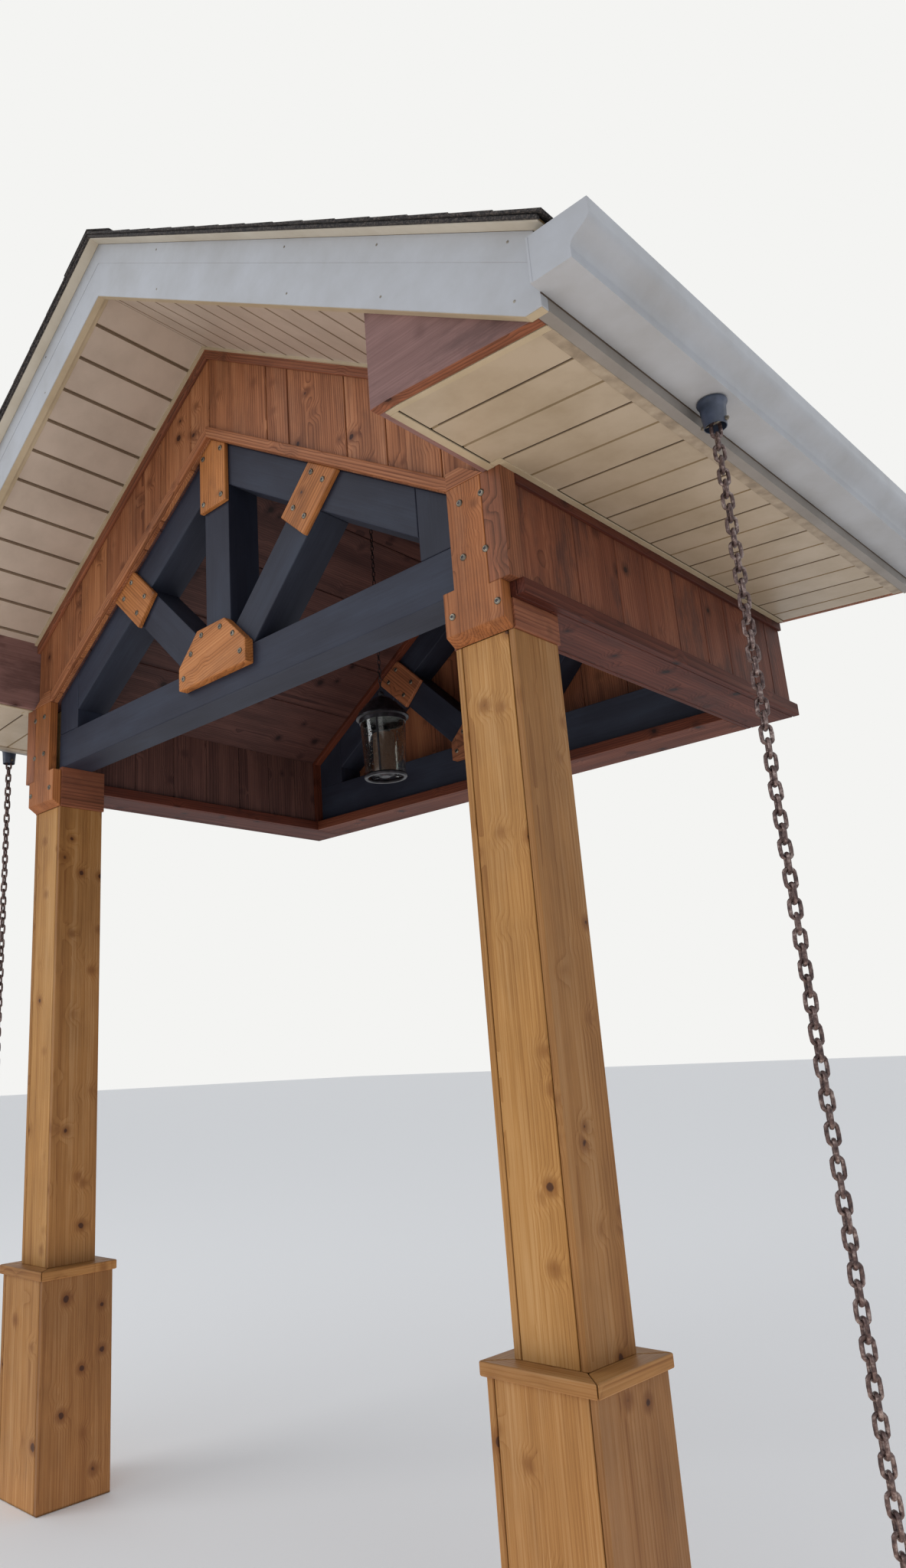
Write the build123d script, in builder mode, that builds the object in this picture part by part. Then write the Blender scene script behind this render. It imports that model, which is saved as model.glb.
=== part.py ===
"""Gabled porch canopy: boxed timber posts, side beams, two trusses, a soffited gable roof,
gutters with rain chains, and a hanging lantern. Millimetres, +Z up, +Y towards the wall."""
import os
from math import atan, cos, radians, sin, tan

from build123d import *

# Layout. The origin lies on the wall face, in the middle of the canopy.
wall_face_height = 2800.0       # origin above the ground
post_spacing = 2330.0           # between post centres
post_setback = 1610.0           # wall face to post centres
front_overhang = 611.0          # post centres to the face of the rake fascia
eave_overhang = 453.0           # side wall to the back of the eave fascia
roof_rise = 203.2               # 8 inches up for each foot along
roof_run = 304.8

# Heights: the pedestals and beams above the ground, the eave soffit above the beams
pedestal_height = 742.0
beam_height = 2625.0
beam_depth = 375.0

# Posts
core_side = 140.0
collar_drop = 88.0              # beams down to the foot of the collars and face boards
shaft_side = 200.0
wrap_board = 19.0
pedestal_side = 296.0
cap_side = 320.0
cap_thickness = 32.0
collar_reveal = 6.0             # collars proud of the shafts
face_board_thickness = 38.0
face_board_width = 120.0
face_block_height = 157.0
face_block_slope_rise = 25.0
face_block_nose = 1.0           # flat left under the sloped foot, against the shaft
corner_board_width = 70.0

# Side walls
wall_thickness = 160.0
wall_lap = 20.0                 # outer boards outside the shafts
cladding = 19.0
sill_thickness = 45.0
sill_outer_lip = 25.0
sill_inner_lip = 19.0

# Trusses
truss_thickness = 140.0
truss_reveal = 8.0              # truss face behind the shaft face
chord_depth = 148.0
chord_lift = 36.0               # front chord above the side sills
rafter_depth = 140.0
leg_width = 140.0
king_width = 140.0
strut_depth = 140.0
strut_angle = 45.0              # degrees above the chord
strut_origin_drop = 92.0        # top of the chords down to where the axes of the struts meet
gusset_thickness = 20.0
strut_plate_width = 155.0
strut_plate_length = 222.0
apex_plate_width = 150.0
apex_plate_length = 285.0
centre_plate_width = 380.0
centre_plate_top = 156.0
centre_plate_thickness = 38.0
centre_plate_height = 200.0
centre_plate_shoulder = 87.0
centre_plate_drop = 77.0        # top of the chord down to the foot of the plate

# Gable and roof
gable_board = 20.0
gable_board_lead = 20.0         # face of the boards in front of the shaft face
rake_trim_thickness = 18.0
rake_trim_depth = 46.0
trim_return_rise = 53.0          # level end of the lower trim over the face board
fascia_thickness = 28.0
fascia_depth = 222.0
fascia_flat = 44.0              # level stretch of the rake fascia at the eave
fascia_drip = 3.0               # foot of the fascias below the eave soffit
rake_lip = 20.0                 # rake fascia below the rake soffit
soffit_board = 12.0
soffit_fall = 35.0              # eave soffit, from the side wall down to the fascia
ceiling_board = 19.0
return_board = 19.0
return_offset = 11.0            # side boards of the returns outside the face boards
return_face_board = 35.0
deck_thickness = 13.0
deck_projection = 35.0
shingle_thickness = 12.0
shingle_projection = 16.0
ridge_cap_half = 150.0
ridge_cap_thickness = 10.0
closure_board = 20.0
frame_trim_depth = 40.0

# Gutters, outlets and rain chains
gutter_wall = 3.0
gutter_base = 102.0
gutter_width = 152.0
gutter_height = 116.0
gutter_rise = 34.0              # gutter floor above the foot of the fascia
gutter_lap = 35.0               # gutters past the face of the rake fascia
gutter_step = 24.0
gutter_rim = 34.0
outlet_setback = 44.0           # behind the post centres
outlet_top_radius = 38.0
outlet_foot_radius = 25.0
outlet_length = 74.0
outlet_wall = 2.5
outlet_flange = 4.0
pin_radius = 4.0
pin_length = 74.0
pin_rise = 12.0
chain_radius = 14.0
chain_ground_gap = 25.0

# Lantern
lantern_setback = 745.0         # behind the post centres
lantern_drop = 1192.0           # ceiling ridge down to the foot of the lantern
lantern_base_radius = 86.0
lantern_base_thickness = 15.0
lantern_glass_height = 232.0
lantern_glass_foot_radius = 80.0
lantern_glass_head_radius = 92.0
lantern_glass_wall = 4.0
lantern_tube_radius = 44.0
lantern_tube_wall = 3.0
lantern_tube_height = 170.0
lantern_rim_radius = 107.0
lantern_rim_thickness = 14.0
lantern_dome_height = 84.0
lantern_dome_fullness = 0.62    # how far out and up the middle of the dome's curve lies
lantern_finial_radius = 16.0
lantern_finial_height = 26.0
lantern_chain_radius = 7.0
hook_block_side = 80.0
hook_block_drop = 46.0

# Levels and planes that follow from the sizes above
ground = -wall_face_height
pitch = roof_rise / roof_run
cap_bottom = ground + pedestal_height
cap_top = cap_bottom + cap_thickness
beam_bottom = ground + beam_height
collar_bottom = beam_bottom - collar_drop
sill_top = beam_bottom + sill_thickness
soffit = beam_bottom + beam_depth
post_x = post_spacing / 2
post_y = -post_setback
wall_outer = post_x + shaft_side / 2 + wall_lap
wall_inner = wall_outer - wall_thickness
header_outer = wall_outer - cladding
header_inner = wall_inner + cladding
core_inner = post_x - core_side / 2
shaft_front = post_y - shaft_side / 2
face_board_front = shaft_front - face_board_thickness
face_board_inner = post_x - face_board_width / 2
face_board_outer = post_x + face_board_width / 2
corner_outer = face_board_outer + corner_board_width
corner_back = post_y - core_side / 2
return_inner = face_board_outer + return_offset
return_outer = return_inner + return_board
gable_front = shaft_front - gable_board_lead
gable_back = gable_front + gable_board
trim_front = gable_front - rake_trim_thickness
fascia_front = post_y - front_overhang
fascia_back = fascia_front + fascia_thickness
return_back = fascia_back + return_face_board
eave_inner = wall_outer + eave_overhang
eave_outer = eave_inner + fascia_thickness
ceiling_apex = soffit + pitch * face_board_inner
core_top = ceiling_apex - pitch * header_inner
soffit_low = soffit - soffit_fall
fascia_foot = soffit_low - fascia_drip
fascia_tip = eave_outer - fascia_flat
fascia_apex = fascia_foot + pitch * fascia_tip
rake_apex = fascia_apex + rake_lip
deck_apex = fascia_apex + fascia_depth
slope = atan(pitch)
trim_plumb = cladding / cos(slope)
closure_front = -closure_board
outlet_x = eave_outer + gutter_base / 2
outlet_y = post_y + outlet_setback
gutter_floor = fascia_foot + gutter_rise
gutter_end = fascia_front - gutter_lap
lantern_y = post_y + lantern_setback
lantern_foot = ceiling_apex - lantern_drop


def frontal(y):
    """Plane parallel to the wall at y; extrusion runs away from the wall."""
    return Plane.XZ.offset(-y)


def under_slope(apex, x):
    """Height at x of a roof line with the given apex."""
    return apex - pitch * abs(x)


def export(builder, name):
    """Labels a finished piece and writes it."""
    builder.part.label = name
    export_step(builder.part, f"parts/{name}.step")


def prism(points, back, front, both=True):
    """Solid with a frontal outline between two planes, and its twin on the other side."""
    with BuildPart() as piece:
        with BuildSketch(frontal(back)):
            with BuildLine():
                Polyline(*points, close=True)
            make_face()
        extrude(amount=back - front)
        if both:
            mirror(about=Plane.YZ)
    return piece


def sloped_pair(apex, half_width, plumb_depth, back, front):
    """Slab on each slope, meeting at the ridge, with its underside on the line from the apex."""
    edge = under_slope(apex, half_width)
    return prism([(0, apex), (half_width, edge), (half_width, edge + plumb_depth),
                  (0, apex + plumb_depth), (-half_width, edge + plumb_depth), (-half_width, edge)],
                 back, front, both=False)


def make_post_cores():
    with BuildPart() as cores:
        with BuildSketch(Plane.XY.offset(ground)):
            with Locations((-post_x, post_y), (post_x, post_y)):
                Rectangle(core_side, core_side)
        extrude(amount=core_top - ground)
    export(cores, "post_cores")


def make_wrap(name, side, x, bottom, top):
    """Four boards round a post core, as one square tube."""
    with BuildPart() as wrap:
        with BuildSketch(Plane.XY.offset(bottom)):
            with Locations((x, post_y)):
                Rectangle(side, side)
                Rectangle(side - 2 * wrap_board, side - 2 * wrap_board, mode=Mode.SUBTRACT)
        extrude(amount=top - bottom)
    export(wrap, name)


def make_pedestal_caps():
    with BuildPart() as caps:
        with BuildSketch(Plane.XY.offset(cap_bottom)):
            with Locations((-post_x, post_y), (post_x, post_y)):
                Rectangle(cap_side, cap_side)
                Rectangle(core_side, core_side, mode=Mode.SUBTRACT)
        extrude(amount=cap_thickness)
    export(caps, "pedestal_caps")


def make_post_collars():
    """Boards round each post core above the shaft; the inner one reaches the truss chord."""
    outer = shaft_side + 2 * collar_reveal
    inner = shaft_side - 2 * wrap_board
    with BuildPart() as collars:
        with BuildSketch(Plane.XY.offset(collar_bottom)):
            with Locations((-post_x, post_y), (post_x, post_y)):
                Rectangle(outer, outer)
                Rectangle(inner, inner, mode=Mode.SUBTRACT)
            with Locations((0, shaft_front - collar_reveal / 2)):
                Rectangle(2 * post_spacing, collar_reveal, mode=Mode.SUBTRACT)
        extrude(amount=beam_bottom - collar_bottom)
        collar_back = post_y + outer / 2
        with BuildSketch(Plane.XY.offset(beam_bottom)):
            for side in (-1, 1):
                with Locations((side * (post_x - (outer + inner) / 4), (shaft_front + collar_back) / 2)):
                    Rectangle((outer - inner) / 2, collar_back - shaft_front)
        extrude(amount=sill_top + chord_lift - beam_bottom)
    export(collars, "post_collars")


def make_post_face_boards():
    """T-shaped boards on the fronts of the post heads, with a sloped foot."""
    block_top = collar_bottom + face_block_height
    block_inner = post_x - shaft_side / 2
    block_outer = post_x + shaft_side / 2
    with BuildPart() as boards:
        with BuildSketch(frontal(shaft_front)):
            with BuildLine():
                Polyline((block_inner, collar_bottom), (block_outer, collar_bottom),
                         (block_outer, sill_top), (face_board_outer, sill_top),
                         (face_board_outer, soffit), (face_board_inner, soffit),
                         (face_board_inner, block_top), (block_inner, block_top), close=True)
            make_face()
        extrude(amount=face_board_thickness)
        with BuildSketch(Plane.YZ.offset(block_inner)):
            with BuildLine():
                Polyline((face_board_front, collar_bottom),
                         (shaft_front - face_block_nose, collar_bottom),
                         (face_board_front, collar_bottom + face_block_slope_rise), close=True)
            make_face()
        extrude(amount=shaft_side, mode=Mode.SUBTRACT)
        mirror(about=Plane.YZ)
    export(boards, "post_face_boards")


def make_corner_boards():
    with BuildPart() as boards:
        with BuildSketch(Plane.XY.offset(sill_top)):
            with Locations(((face_board_outer + corner_outer) / 2, (face_board_front + corner_back) / 2)):
                Rectangle(corner_board_width, corner_back - face_board_front)
        extrude(amount=soffit - sill_top)
        mirror(about=Plane.YZ)
    export(boards, "corner_boards")


def make_side_sills():
    """Bottom boards of the side walls, let in round the post cores."""
    inner = wall_inner - sill_inner_lip
    outer = wall_outer + sill_outer_lip
    with BuildPart() as sills:
        with BuildSketch(Plane.XY.offset(beam_bottom)):
            with Locations(((inner + outer) / 2, shaft_front / 2)):
                Rectangle(outer - inner, -shaft_front)
            with Locations((post_x, post_y)):
                Rectangle(core_side, core_side, mode=Mode.SUBTRACT)
        extrude(amount=sill_thickness)
        mirror(about=Plane.YZ)
    export(sills, "side_sills")


def make_side_headers():
    """Timber beams inside the side walls, carrying the roof deck."""
    core_back = post_y + core_side / 2
    with BuildPart() as headers:
        with BuildSketch(frontal(closure_front)):
            with BuildLine():
                Polyline((header_inner, sill_top), (header_outer, sill_top),
                         (header_outer, under_slope(deck_apex, header_outer)),
                         (header_inner, under_slope(deck_apex, header_inner)), close=True)
            make_face()
        extrude(amount=closure_front - core_back)
        with BuildSketch(frontal(core_back)):
            with BuildLine():
                Polyline((header_inner, soffit), (header_outer, soffit),
                         (header_outer, under_slope(deck_apex, header_outer)),
                         (header_inner, under_slope(deck_apex, header_inner)), close=True)
            make_face()
        extrude(amount=core_back - gable_back)
        mirror(about=Plane.YZ)
    export(headers, "side_headers")


def make_wall_boards():
    """Vertical boards on both faces of the side walls."""
    with BuildPart() as outer_boards:
        with BuildSketch(Plane.XY.offset(sill_top)):
            with Locations((wall_outer - cladding / 2, corner_back / 2)):
                Rectangle(cladding, -corner_back)
        extrude(amount=soffit - sill_top)
        mirror(about=Plane.YZ)
    export(outer_boards, "outer_wall_boards")
    inner_boards = prism([(wall_inner, sill_top), (header_inner, sill_top),
                          (header_inner, under_slope(ceiling_apex, header_inner)),
                          (wall_inner, under_slope(ceiling_apex, wall_inner))],
                         closure_front, post_y + core_side / 2)
    export(inner_boards, "inner_wall_boards")


def make_truss(name, front, leg_outer, chord_foot, plate_apex):
    """Black truss with its gusset plates, whose upper edges follow the line from plate_apex."""
    back = front + truss_thickness
    chord_top = sill_top + chord_lift + chord_depth
    leg_inner = core_inner - leg_width
    plumb_depth = rafter_depth / cos(slope)
    rafter_foot = ceiling_apex - plumb_depth
    half_king = king_width / 2

    with BuildPart() as posts:
        with BuildSketch(frontal(back)):
            with BuildLine():
                Polyline((-half_king, chord_top), (half_king, chord_top),
                         (half_king, under_slope(ceiling_apex, half_king)), (0, ceiling_apex),
                         (-half_king, under_slope(ceiling_apex, half_king)), close=True)
            make_face()
            for side in (-1, 1):
                with BuildLine():
                    Polyline((side * leg_inner, chord_top), (side * leg_outer, chord_top),
                             (side * leg_outer, under_slope(ceiling_apex, leg_outer)),
                             (side * leg_inner, under_slope(ceiling_apex, leg_inner)), close=True)
                make_face()
        extrude(amount=truss_thickness)
    export(posts, f"{name}_truss_posts")

    with BuildPart() as chords:
        with BuildSketch(frontal(back)):
            with Locations((0, (chord_foot + chord_top) / 2)):
                Rectangle(2 * leg_outer, chord_top - chord_foot)
            for side in (-1, 1):
                with BuildLine():
                    Polyline((side * half_king, under_slope(rafter_foot, half_king)),
                             (side * leg_inner, under_slope(rafter_foot, leg_inner)),
                             (side * leg_inner, under_slope(ceiling_apex, leg_inner)),
                             (side * half_king, under_slope(ceiling_apex, half_king)), close=True)
                make_face()
        extrude(amount=truss_thickness)
    export(chords, f"{name}_truss_chords")

    strut_origin = chord_top - strut_origin_drop
    strut_slope = tan(radians(strut_angle))
    half_plumb = strut_depth / 2 / cos(radians(strut_angle))

    def strut_meets(apex, offset):
        """Corner where a line above or below a strut's axis reaches the roof line with that apex."""
        x = (apex - strut_origin - offset) / (strut_slope + pitch)
        return (x, strut_origin + offset + strut_slope * x)

    upper_foot = (half_king, strut_origin + half_plumb + strut_slope * half_king)
    lower_foot = ((chord_top - strut_origin + half_plumb) / strut_slope, chord_top)
    with BuildPart() as struts:
        with BuildSketch(frontal(back)):
            with BuildLine():
                Polyline((half_king, chord_top), lower_foot, strut_meets(rafter_foot, -half_plumb),
                         strut_meets(rafter_foot, half_plumb), upper_foot, close=True)
            make_face()
        extrude(amount=truss_thickness)
        mirror(about=Plane.YZ)
    export(struts, f"{name}_truss_struts")

    plate_run = strut_plate_length * cos(radians(strut_angle))
    plate_base_x = strut_meets(plate_apex, 0)[0] - plate_run
    plate_base_z = strut_origin + strut_slope * plate_base_x
    across_x = strut_plate_width / 2 * sin(radians(strut_angle))
    across_z = strut_plate_width / 2 * cos(radians(strut_angle))
    plate_plumb = strut_plate_width / 2 / cos(radians(strut_angle))
    plate_corners = [(plate_base_x + across_x, plate_base_z - across_z),
                     strut_meets(plate_apex, -plate_plumb), strut_meets(plate_apex, plate_plumb),
                     (plate_base_x - across_x, plate_base_z + across_z)]
    with BuildPart() as plates:
        with BuildSketch(frontal(front)):
            half_apex = apex_plate_width / 2
            with BuildLine():
                Polyline((-half_apex, plate_apex - apex_plate_length),
                         (half_apex, plate_apex - apex_plate_length),
                         (half_apex, under_slope(plate_apex, half_apex)), (0, plate_apex),
                         (-half_apex, under_slope(plate_apex, half_apex)), close=True)
            make_face()
            for side in (-1, 1):
                with BuildLine():
                    Polyline(*[(side * x, z) for x, z in plate_corners], close=True)
                make_face()
        extrude(amount=gusset_thickness)
        with BuildSketch(frontal(front)):
            plate_foot = chord_top - centre_plate_drop
            half_centre = centre_plate_width / 2
            half_top = centre_plate_top / 2
            with BuildLine():
                Polyline((-half_centre, plate_foot), (half_centre, plate_foot),
                         (half_centre, plate_foot + centre_plate_shoulder),
                         (half_top, plate_foot + centre_plate_height),
                         (-half_top, plate_foot + centre_plate_height),
                         (-half_centre, plate_foot + centre_plate_shoulder), close=True)
            make_face()
        extrude(amount=centre_plate_thickness)
    export(plates, f"{name}_gusset_plates")


def make_rear_closure():
    """Sill, edge trim and boarded gable behind the rear truss."""
    sill_half = wall_inner - sill_inner_lip
    truss_front = closure_front - truss_thickness
    trim_inner = wall_inner - cladding
    with BuildPart() as sill:
        with BuildSketch(Plane.XY.offset(beam_bottom)):
            with Locations((0, (truss_front - frame_trim_depth) / 2)):
                Rectangle(2 * sill_half, frame_trim_depth - truss_front)
        extrude(amount=sill_thickness)
    export(sill, "rear_sill")

    with BuildPart() as trim:
        with BuildSketch(frontal(truss_front)):
            with BuildLine():
                Polyline((wall_inner, sill_top), (wall_inner, under_slope(ceiling_apex, wall_inner)),
                         (0, ceiling_apex), (-wall_inner, under_slope(ceiling_apex, wall_inner)),
                         (-wall_inner, sill_top), (-trim_inner, sill_top),
                         (-trim_inner, under_slope(ceiling_apex, trim_inner) - trim_plumb),
                         (0, ceiling_apex - trim_plumb),
                         (trim_inner, under_slope(ceiling_apex, trim_inner) - trim_plumb),
                         (trim_inner, sill_top), close=True)
            make_face()
        extrude(amount=frame_trim_depth)
    export(trim, "rear_frame_trim")

    eave = under_slope(deck_apex, eave_inner)
    wall = prism([(-header_outer, sill_top), (header_outer, sill_top), (header_outer, soffit),
                  (corner_outer, soffit), (eave_inner, soffit_low), (eave_inner, eave), (0, deck_apex),
                  (-eave_inner, eave), (-eave_inner, soffit_low), (-corner_outer, soffit),
                  (-header_outer, soffit)], 0, closure_front, both=False)
    export(wall, "rear_gable_wall")


def make_front_gable():
    """Boarded gable above the front truss, with a trim along each rake."""
    top = under_slope(deck_apex, return_inner)
    boards = prism([(0, ceiling_apex), (face_board_inner, soffit), (return_inner, soffit),
                    (return_inner, top), (0, deck_apex), (-return_inner, top), (-return_inner, soffit),
                    (-face_board_inner, soffit)], gable_back, gable_front, both=False)
    export(boards, "front_gable_boards")

    trim_top = ceiling_apex + rake_trim_depth
    level_top = soffit + trim_return_rise
    lower = prism([(0, ceiling_apex), (face_board_inner, soffit), (return_inner, soffit),
                   (return_inner - trim_return_rise / pitch, level_top),
                   ((trim_top - level_top) / pitch, level_top), (0, trim_top)], gable_front, trim_front)
    export(lower, "lower_rake_trim")
    upper = sloped_pair(rake_apex - rake_trim_depth, return_inner, rake_trim_depth, gable_front, trim_front)
    export(upper, "upper_rake_trim")


def make_ceiling():
    """Sloped board ceiling on the trusses and between the gables."""
    boards = sloped_pair(ceiling_apex, header_inner, ceiling_board / cos(slope), closure_front, gable_back)
    export(boards, "ceiling_boards")


def make_soffits():
    """Rake soffit under the front overhang, and eave soffits that fall from the side walls."""
    rake = sloped_pair(rake_apex, return_inner, soffit_board / cos(slope), gable_front, fascia_back)
    export(rake, "rake_soffit")

    for name, side in (("left", -1), ("right", 1)):
        with BuildPart() as eave:
            for inner, back, front in ((header_outer, closure_front, gable_back),
                                       (return_outer, gable_back, return_back)):
                under = [(inner, soffit), (corner_outer, soffit), (eave_inner, soffit_low)]
                over = [(x, z + soffit_board) for x, z in reversed(under)]
                with BuildSketch(frontal(back)):
                    with BuildLine():
                        Polyline(*[(side * x, z) for x, z in under + over], close=True)
                    make_face()
                extrude(amount=back - front)
        export(eave, f"{name}_eave_soffit")


def make_eave_returns():
    """Boards that close the eave boxes: one along the rake soffit, one triangular in front."""
    with BuildPart() as returns:
        with BuildSketch(frontal(gable_back)):
            with BuildLine():
                Polyline((return_inner, soffit), (return_outer, soffit),
                         (return_outer, under_slope(deck_apex, return_outer)),
                         (return_inner, under_slope(deck_apex, return_inner)), close=True)
            make_face()
        extrude(amount=gable_back - fascia_back)
        with BuildSketch(frontal(return_back)):
            with BuildLine():
                Polyline((return_inner, soffit), (corner_outer, soffit), (eave_inner, soffit_low),
                         (eave_inner, under_slope(rake_apex, eave_inner)),
                         (return_inner, under_slope(rake_apex, return_inner)), close=True)
            make_face()
        extrude(amount=return_face_board)
        mirror(about=Plane.YZ)
    export(returns, "eave_returns")


def make_fascias():
    top = under_slope(deck_apex, eave_outer)
    rake = prism([(0, fascia_apex), (fascia_tip, fascia_foot), (eave_outer, fascia_foot),
                  (eave_outer, top), (0, deck_apex), (-eave_outer, top), (-eave_outer, fascia_foot),
                  (-fascia_tip, fascia_foot)], fascia_back, fascia_front, both=False)
    export(rake, "rake_fascia")
    eaves = prism([(eave_inner, fascia_foot), (eave_outer, fascia_foot), (eave_outer, top),
                   (eave_inner, under_slope(deck_apex, eave_inner))], 0, fascia_back)
    export(eaves, "eave_fascias")


def make_roof():
    """Deck, shingle layers and ridge cap."""
    deck_edge = eave_outer + deck_projection
    deck_front = fascia_front - deck_projection
    deck = sloped_pair(deck_apex, deck_edge, deck_thickness, 0, deck_front)
    export(deck, "roof_deck")

    shingle_apex = deck_apex + deck_thickness
    shingle_front = deck_front - shingle_projection
    shingles = sloped_pair(shingle_apex, deck_edge + shingle_projection, shingle_thickness, 0, shingle_front)
    export(shingles, "shingle_layer")
    cap_apex = shingle_apex + shingle_thickness
    cap = sloped_pair(cap_apex, ridge_cap_half, ridge_cap_thickness, 0, shingle_front)
    export(cap, "ridge_cap")


def gutter_points(side, wall):
    """Corners of a gutter's section, then its front curve, drawn in by a wall thickness."""
    back = eave_outer + wall
    floor = gutter_floor + wall
    foot = eave_outer + gutter_base - wall
    rim = eave_outer + gutter_width - wall
    top = gutter_floor + gutter_height
    step = gutter_floor + gutter_step
    shoulder = top - gutter_rim
    half_swing = (shoulder - step) / 2
    corners = [(side * rim, shoulder), (side * rim, top), (side * back, top), (side * back, floor),
               (side * foot, floor), (side * foot, step)]
    curve = [(side * foot, step), (side * foot, step + half_swing),
             (side * rim, shoulder - half_swing), (side * rim, shoulder)]
    return corners, curve


def make_gutters():
    """Gutters with closed ends, open above, with a hole over each outlet."""
    for name, side in (("left", -1), ("right", 1)):
        with BuildPart() as gutter:
            corners, curve = gutter_points(side, 0)
            with BuildSketch(frontal(0)):
                with BuildLine():
                    Polyline(*corners)
                    Bezier(*curve)
                make_face()
            extrude(amount=-gutter_end)
            corners, curve = gutter_points(side, gutter_wall)
            with BuildSketch(frontal(-gutter_wall)):
                with BuildLine():
                    Polyline(*corners)
                    Bezier(*curve)
                make_face()
                with Locations((side * (eave_outer + gutter_width / 2), gutter_floor + gutter_height)):
                    Rectangle(gutter_width - 2 * gutter_wall, gutter_wall * 2)
            extrude(amount=-gutter_end - 2 * gutter_wall, mode=Mode.SUBTRACT)
            with BuildSketch(Plane.XY.offset(gutter_floor)):
                with Locations((side * outlet_x, outlet_y)):
                    Circle(outlet_top_radius - outlet_wall - outlet_flange)
            extrude(amount=gutter_wall, mode=Mode.SUBTRACT)
        export(gutter, f"{name}_gutter")


def make_outlets():
    """Tapered outlets under the gutters, each with a pin that the rain chain hangs from."""
    foot = gutter_floor - outlet_length
    with BuildPart() as outlets:
        with BuildSketch(Plane.XY.offset(foot)):
            with Locations((outlet_x, outlet_y)):
                Circle(outlet_foot_radius)
        with BuildSketch(Plane.XY.offset(gutter_floor)):
            with Locations((outlet_x, outlet_y)):
                Circle(outlet_top_radius)
        loft()
        with BuildSketch(Plane.XY.offset(foot)):
            with Locations((outlet_x, outlet_y)):
                Circle(outlet_foot_radius - outlet_wall)
        with BuildSketch(Plane.XY.offset(gutter_floor)):
            with Locations((outlet_x, outlet_y)):
                Circle(outlet_top_radius - outlet_wall)
        loft(mode=Mode.SUBTRACT)
        with BuildSketch(Plane.YZ.offset(outlet_x - pin_length / 2)):
            with Locations((outlet_y, foot + pin_rise)):
                Circle(pin_radius)
        extrude(amount=pin_length)
        mirror(about=Plane.YZ)
    export(outlets, "gutter_outlets")


def make_rain_chains():
    """Chains hanging from the outlet pins to just above the ground, as plain rods."""
    top = gutter_floor - outlet_length + pin_rise - pin_radius
    bottom = ground + chain_ground_gap
    with BuildPart() as chains:
        with BuildSketch(Plane.XY.offset(bottom)):
            with Locations((-outlet_x, outlet_y), (outlet_x, outlet_y)):
                Circle(chain_radius)
        extrude(amount=top - bottom)
    export(chains, "rain_chains")


def make_lantern():
    axis = Axis((0, lantern_y, 0), (0, 0, 1))
    glass_foot = lantern_foot + lantern_base_thickness
    glass_head = glass_foot + lantern_glass_height
    rim_top = glass_head + lantern_rim_thickness
    dome_top = rim_top + lantern_dome_height
    finial_top = dome_top + lantern_finial_height

    with BuildPart() as base:
        with BuildSketch(Plane.XY.offset(lantern_foot)):
            with Locations((0, lantern_y)):
                Circle(lantern_base_radius)
        extrude(amount=lantern_base_thickness)
        with BuildSketch(Plane.XY.offset(glass_foot)):
            with Locations((0, lantern_y)):
                Circle(lantern_tube_radius)
                Circle(lantern_tube_radius - lantern_tube_wall, mode=Mode.SUBTRACT)
        extrude(amount=lantern_tube_height)
    export(base, "lantern_base")

    with BuildPart() as glass:
        with BuildSketch(frontal(lantern_y)):
            with BuildLine():
                Polyline((lantern_glass_foot_radius, glass_foot), (lantern_glass_head_radius, glass_head),
                         (lantern_glass_head_radius - lantern_glass_wall, glass_head),
                         (lantern_glass_foot_radius - lantern_glass_wall, glass_foot), close=True)
            make_face()
        revolve(axis=axis)
    export(glass, "lantern_glass")

    with BuildPart() as cap:
        with BuildSketch(frontal(lantern_y)):
            with BuildLine():
                Polyline((0, glass_head), (lantern_rim_radius, glass_head), (lantern_rim_radius, rim_top))
                ThreePointArc((lantern_rim_radius, rim_top),
                              (lantern_rim_radius * lantern_dome_fullness,
                               rim_top + lantern_dome_height * lantern_dome_fullness),
                              (lantern_finial_radius, dome_top))
                Polyline((lantern_finial_radius, dome_top), (lantern_finial_radius, finial_top),
                         (0, finial_top), (0, glass_head))
            make_face()
        revolve(axis=axis)
    export(cap, "lantern_cap")

    block_bottom = ceiling_apex - hook_block_drop
    half = hook_block_side / 2
    with BuildPart() as chain:
        with BuildSketch(Plane.XY.offset(finial_top)):
            with Locations((0, lantern_y)):
                Circle(lantern_chain_radius)
        extrude(amount=block_bottom - finial_top)
        with BuildSketch(frontal(lantern_y + half)):
            with BuildLine():
                shoulder = under_slope(ceiling_apex, half)
                Polyline((-half, block_bottom), (half, block_bottom), (half, shoulder),
                         (0, ceiling_apex), (-half, shoulder), close=True)
            make_face()
        extrude(amount=hook_block_side)
    export(chain, "lantern_chain")


def main():
    os.makedirs("parts", exist_ok=True)
    make_post_cores()
    for name, x in (("left", -post_x), ("right", post_x)):
        make_wrap(f"{name}_pedestal", pedestal_side, x, ground, cap_bottom)
        make_wrap(f"{name}_post_shaft", shaft_side, x, cap_top, collar_bottom)
    make_pedestal_caps()
    make_post_collars()
    make_post_face_boards()
    make_corner_boards()
    make_side_sills()
    make_side_headers()
    make_wall_boards()
    make_truss("front", shaft_front + truss_reveal, core_inner, sill_top + chord_lift, ceiling_apex)
    make_truss("rear", closure_front - truss_thickness, wall_inner, sill_top, ceiling_apex - trim_plumb)
    make_rear_closure()
    make_front_gable()
    make_ceiling()
    make_soffits()
    make_eave_returns()
    make_fascias()
    make_roof()
    make_gutters()
    make_outlets()
    make_rain_chains()
    make_lantern()


main()
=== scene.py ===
"""Looks of the porch canopy: boards, trims, fasteners, shingles, chains and lantern. Metres, +Z up."""

import math
import random

import bpy
from mathutils import Matrix, Vector


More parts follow.
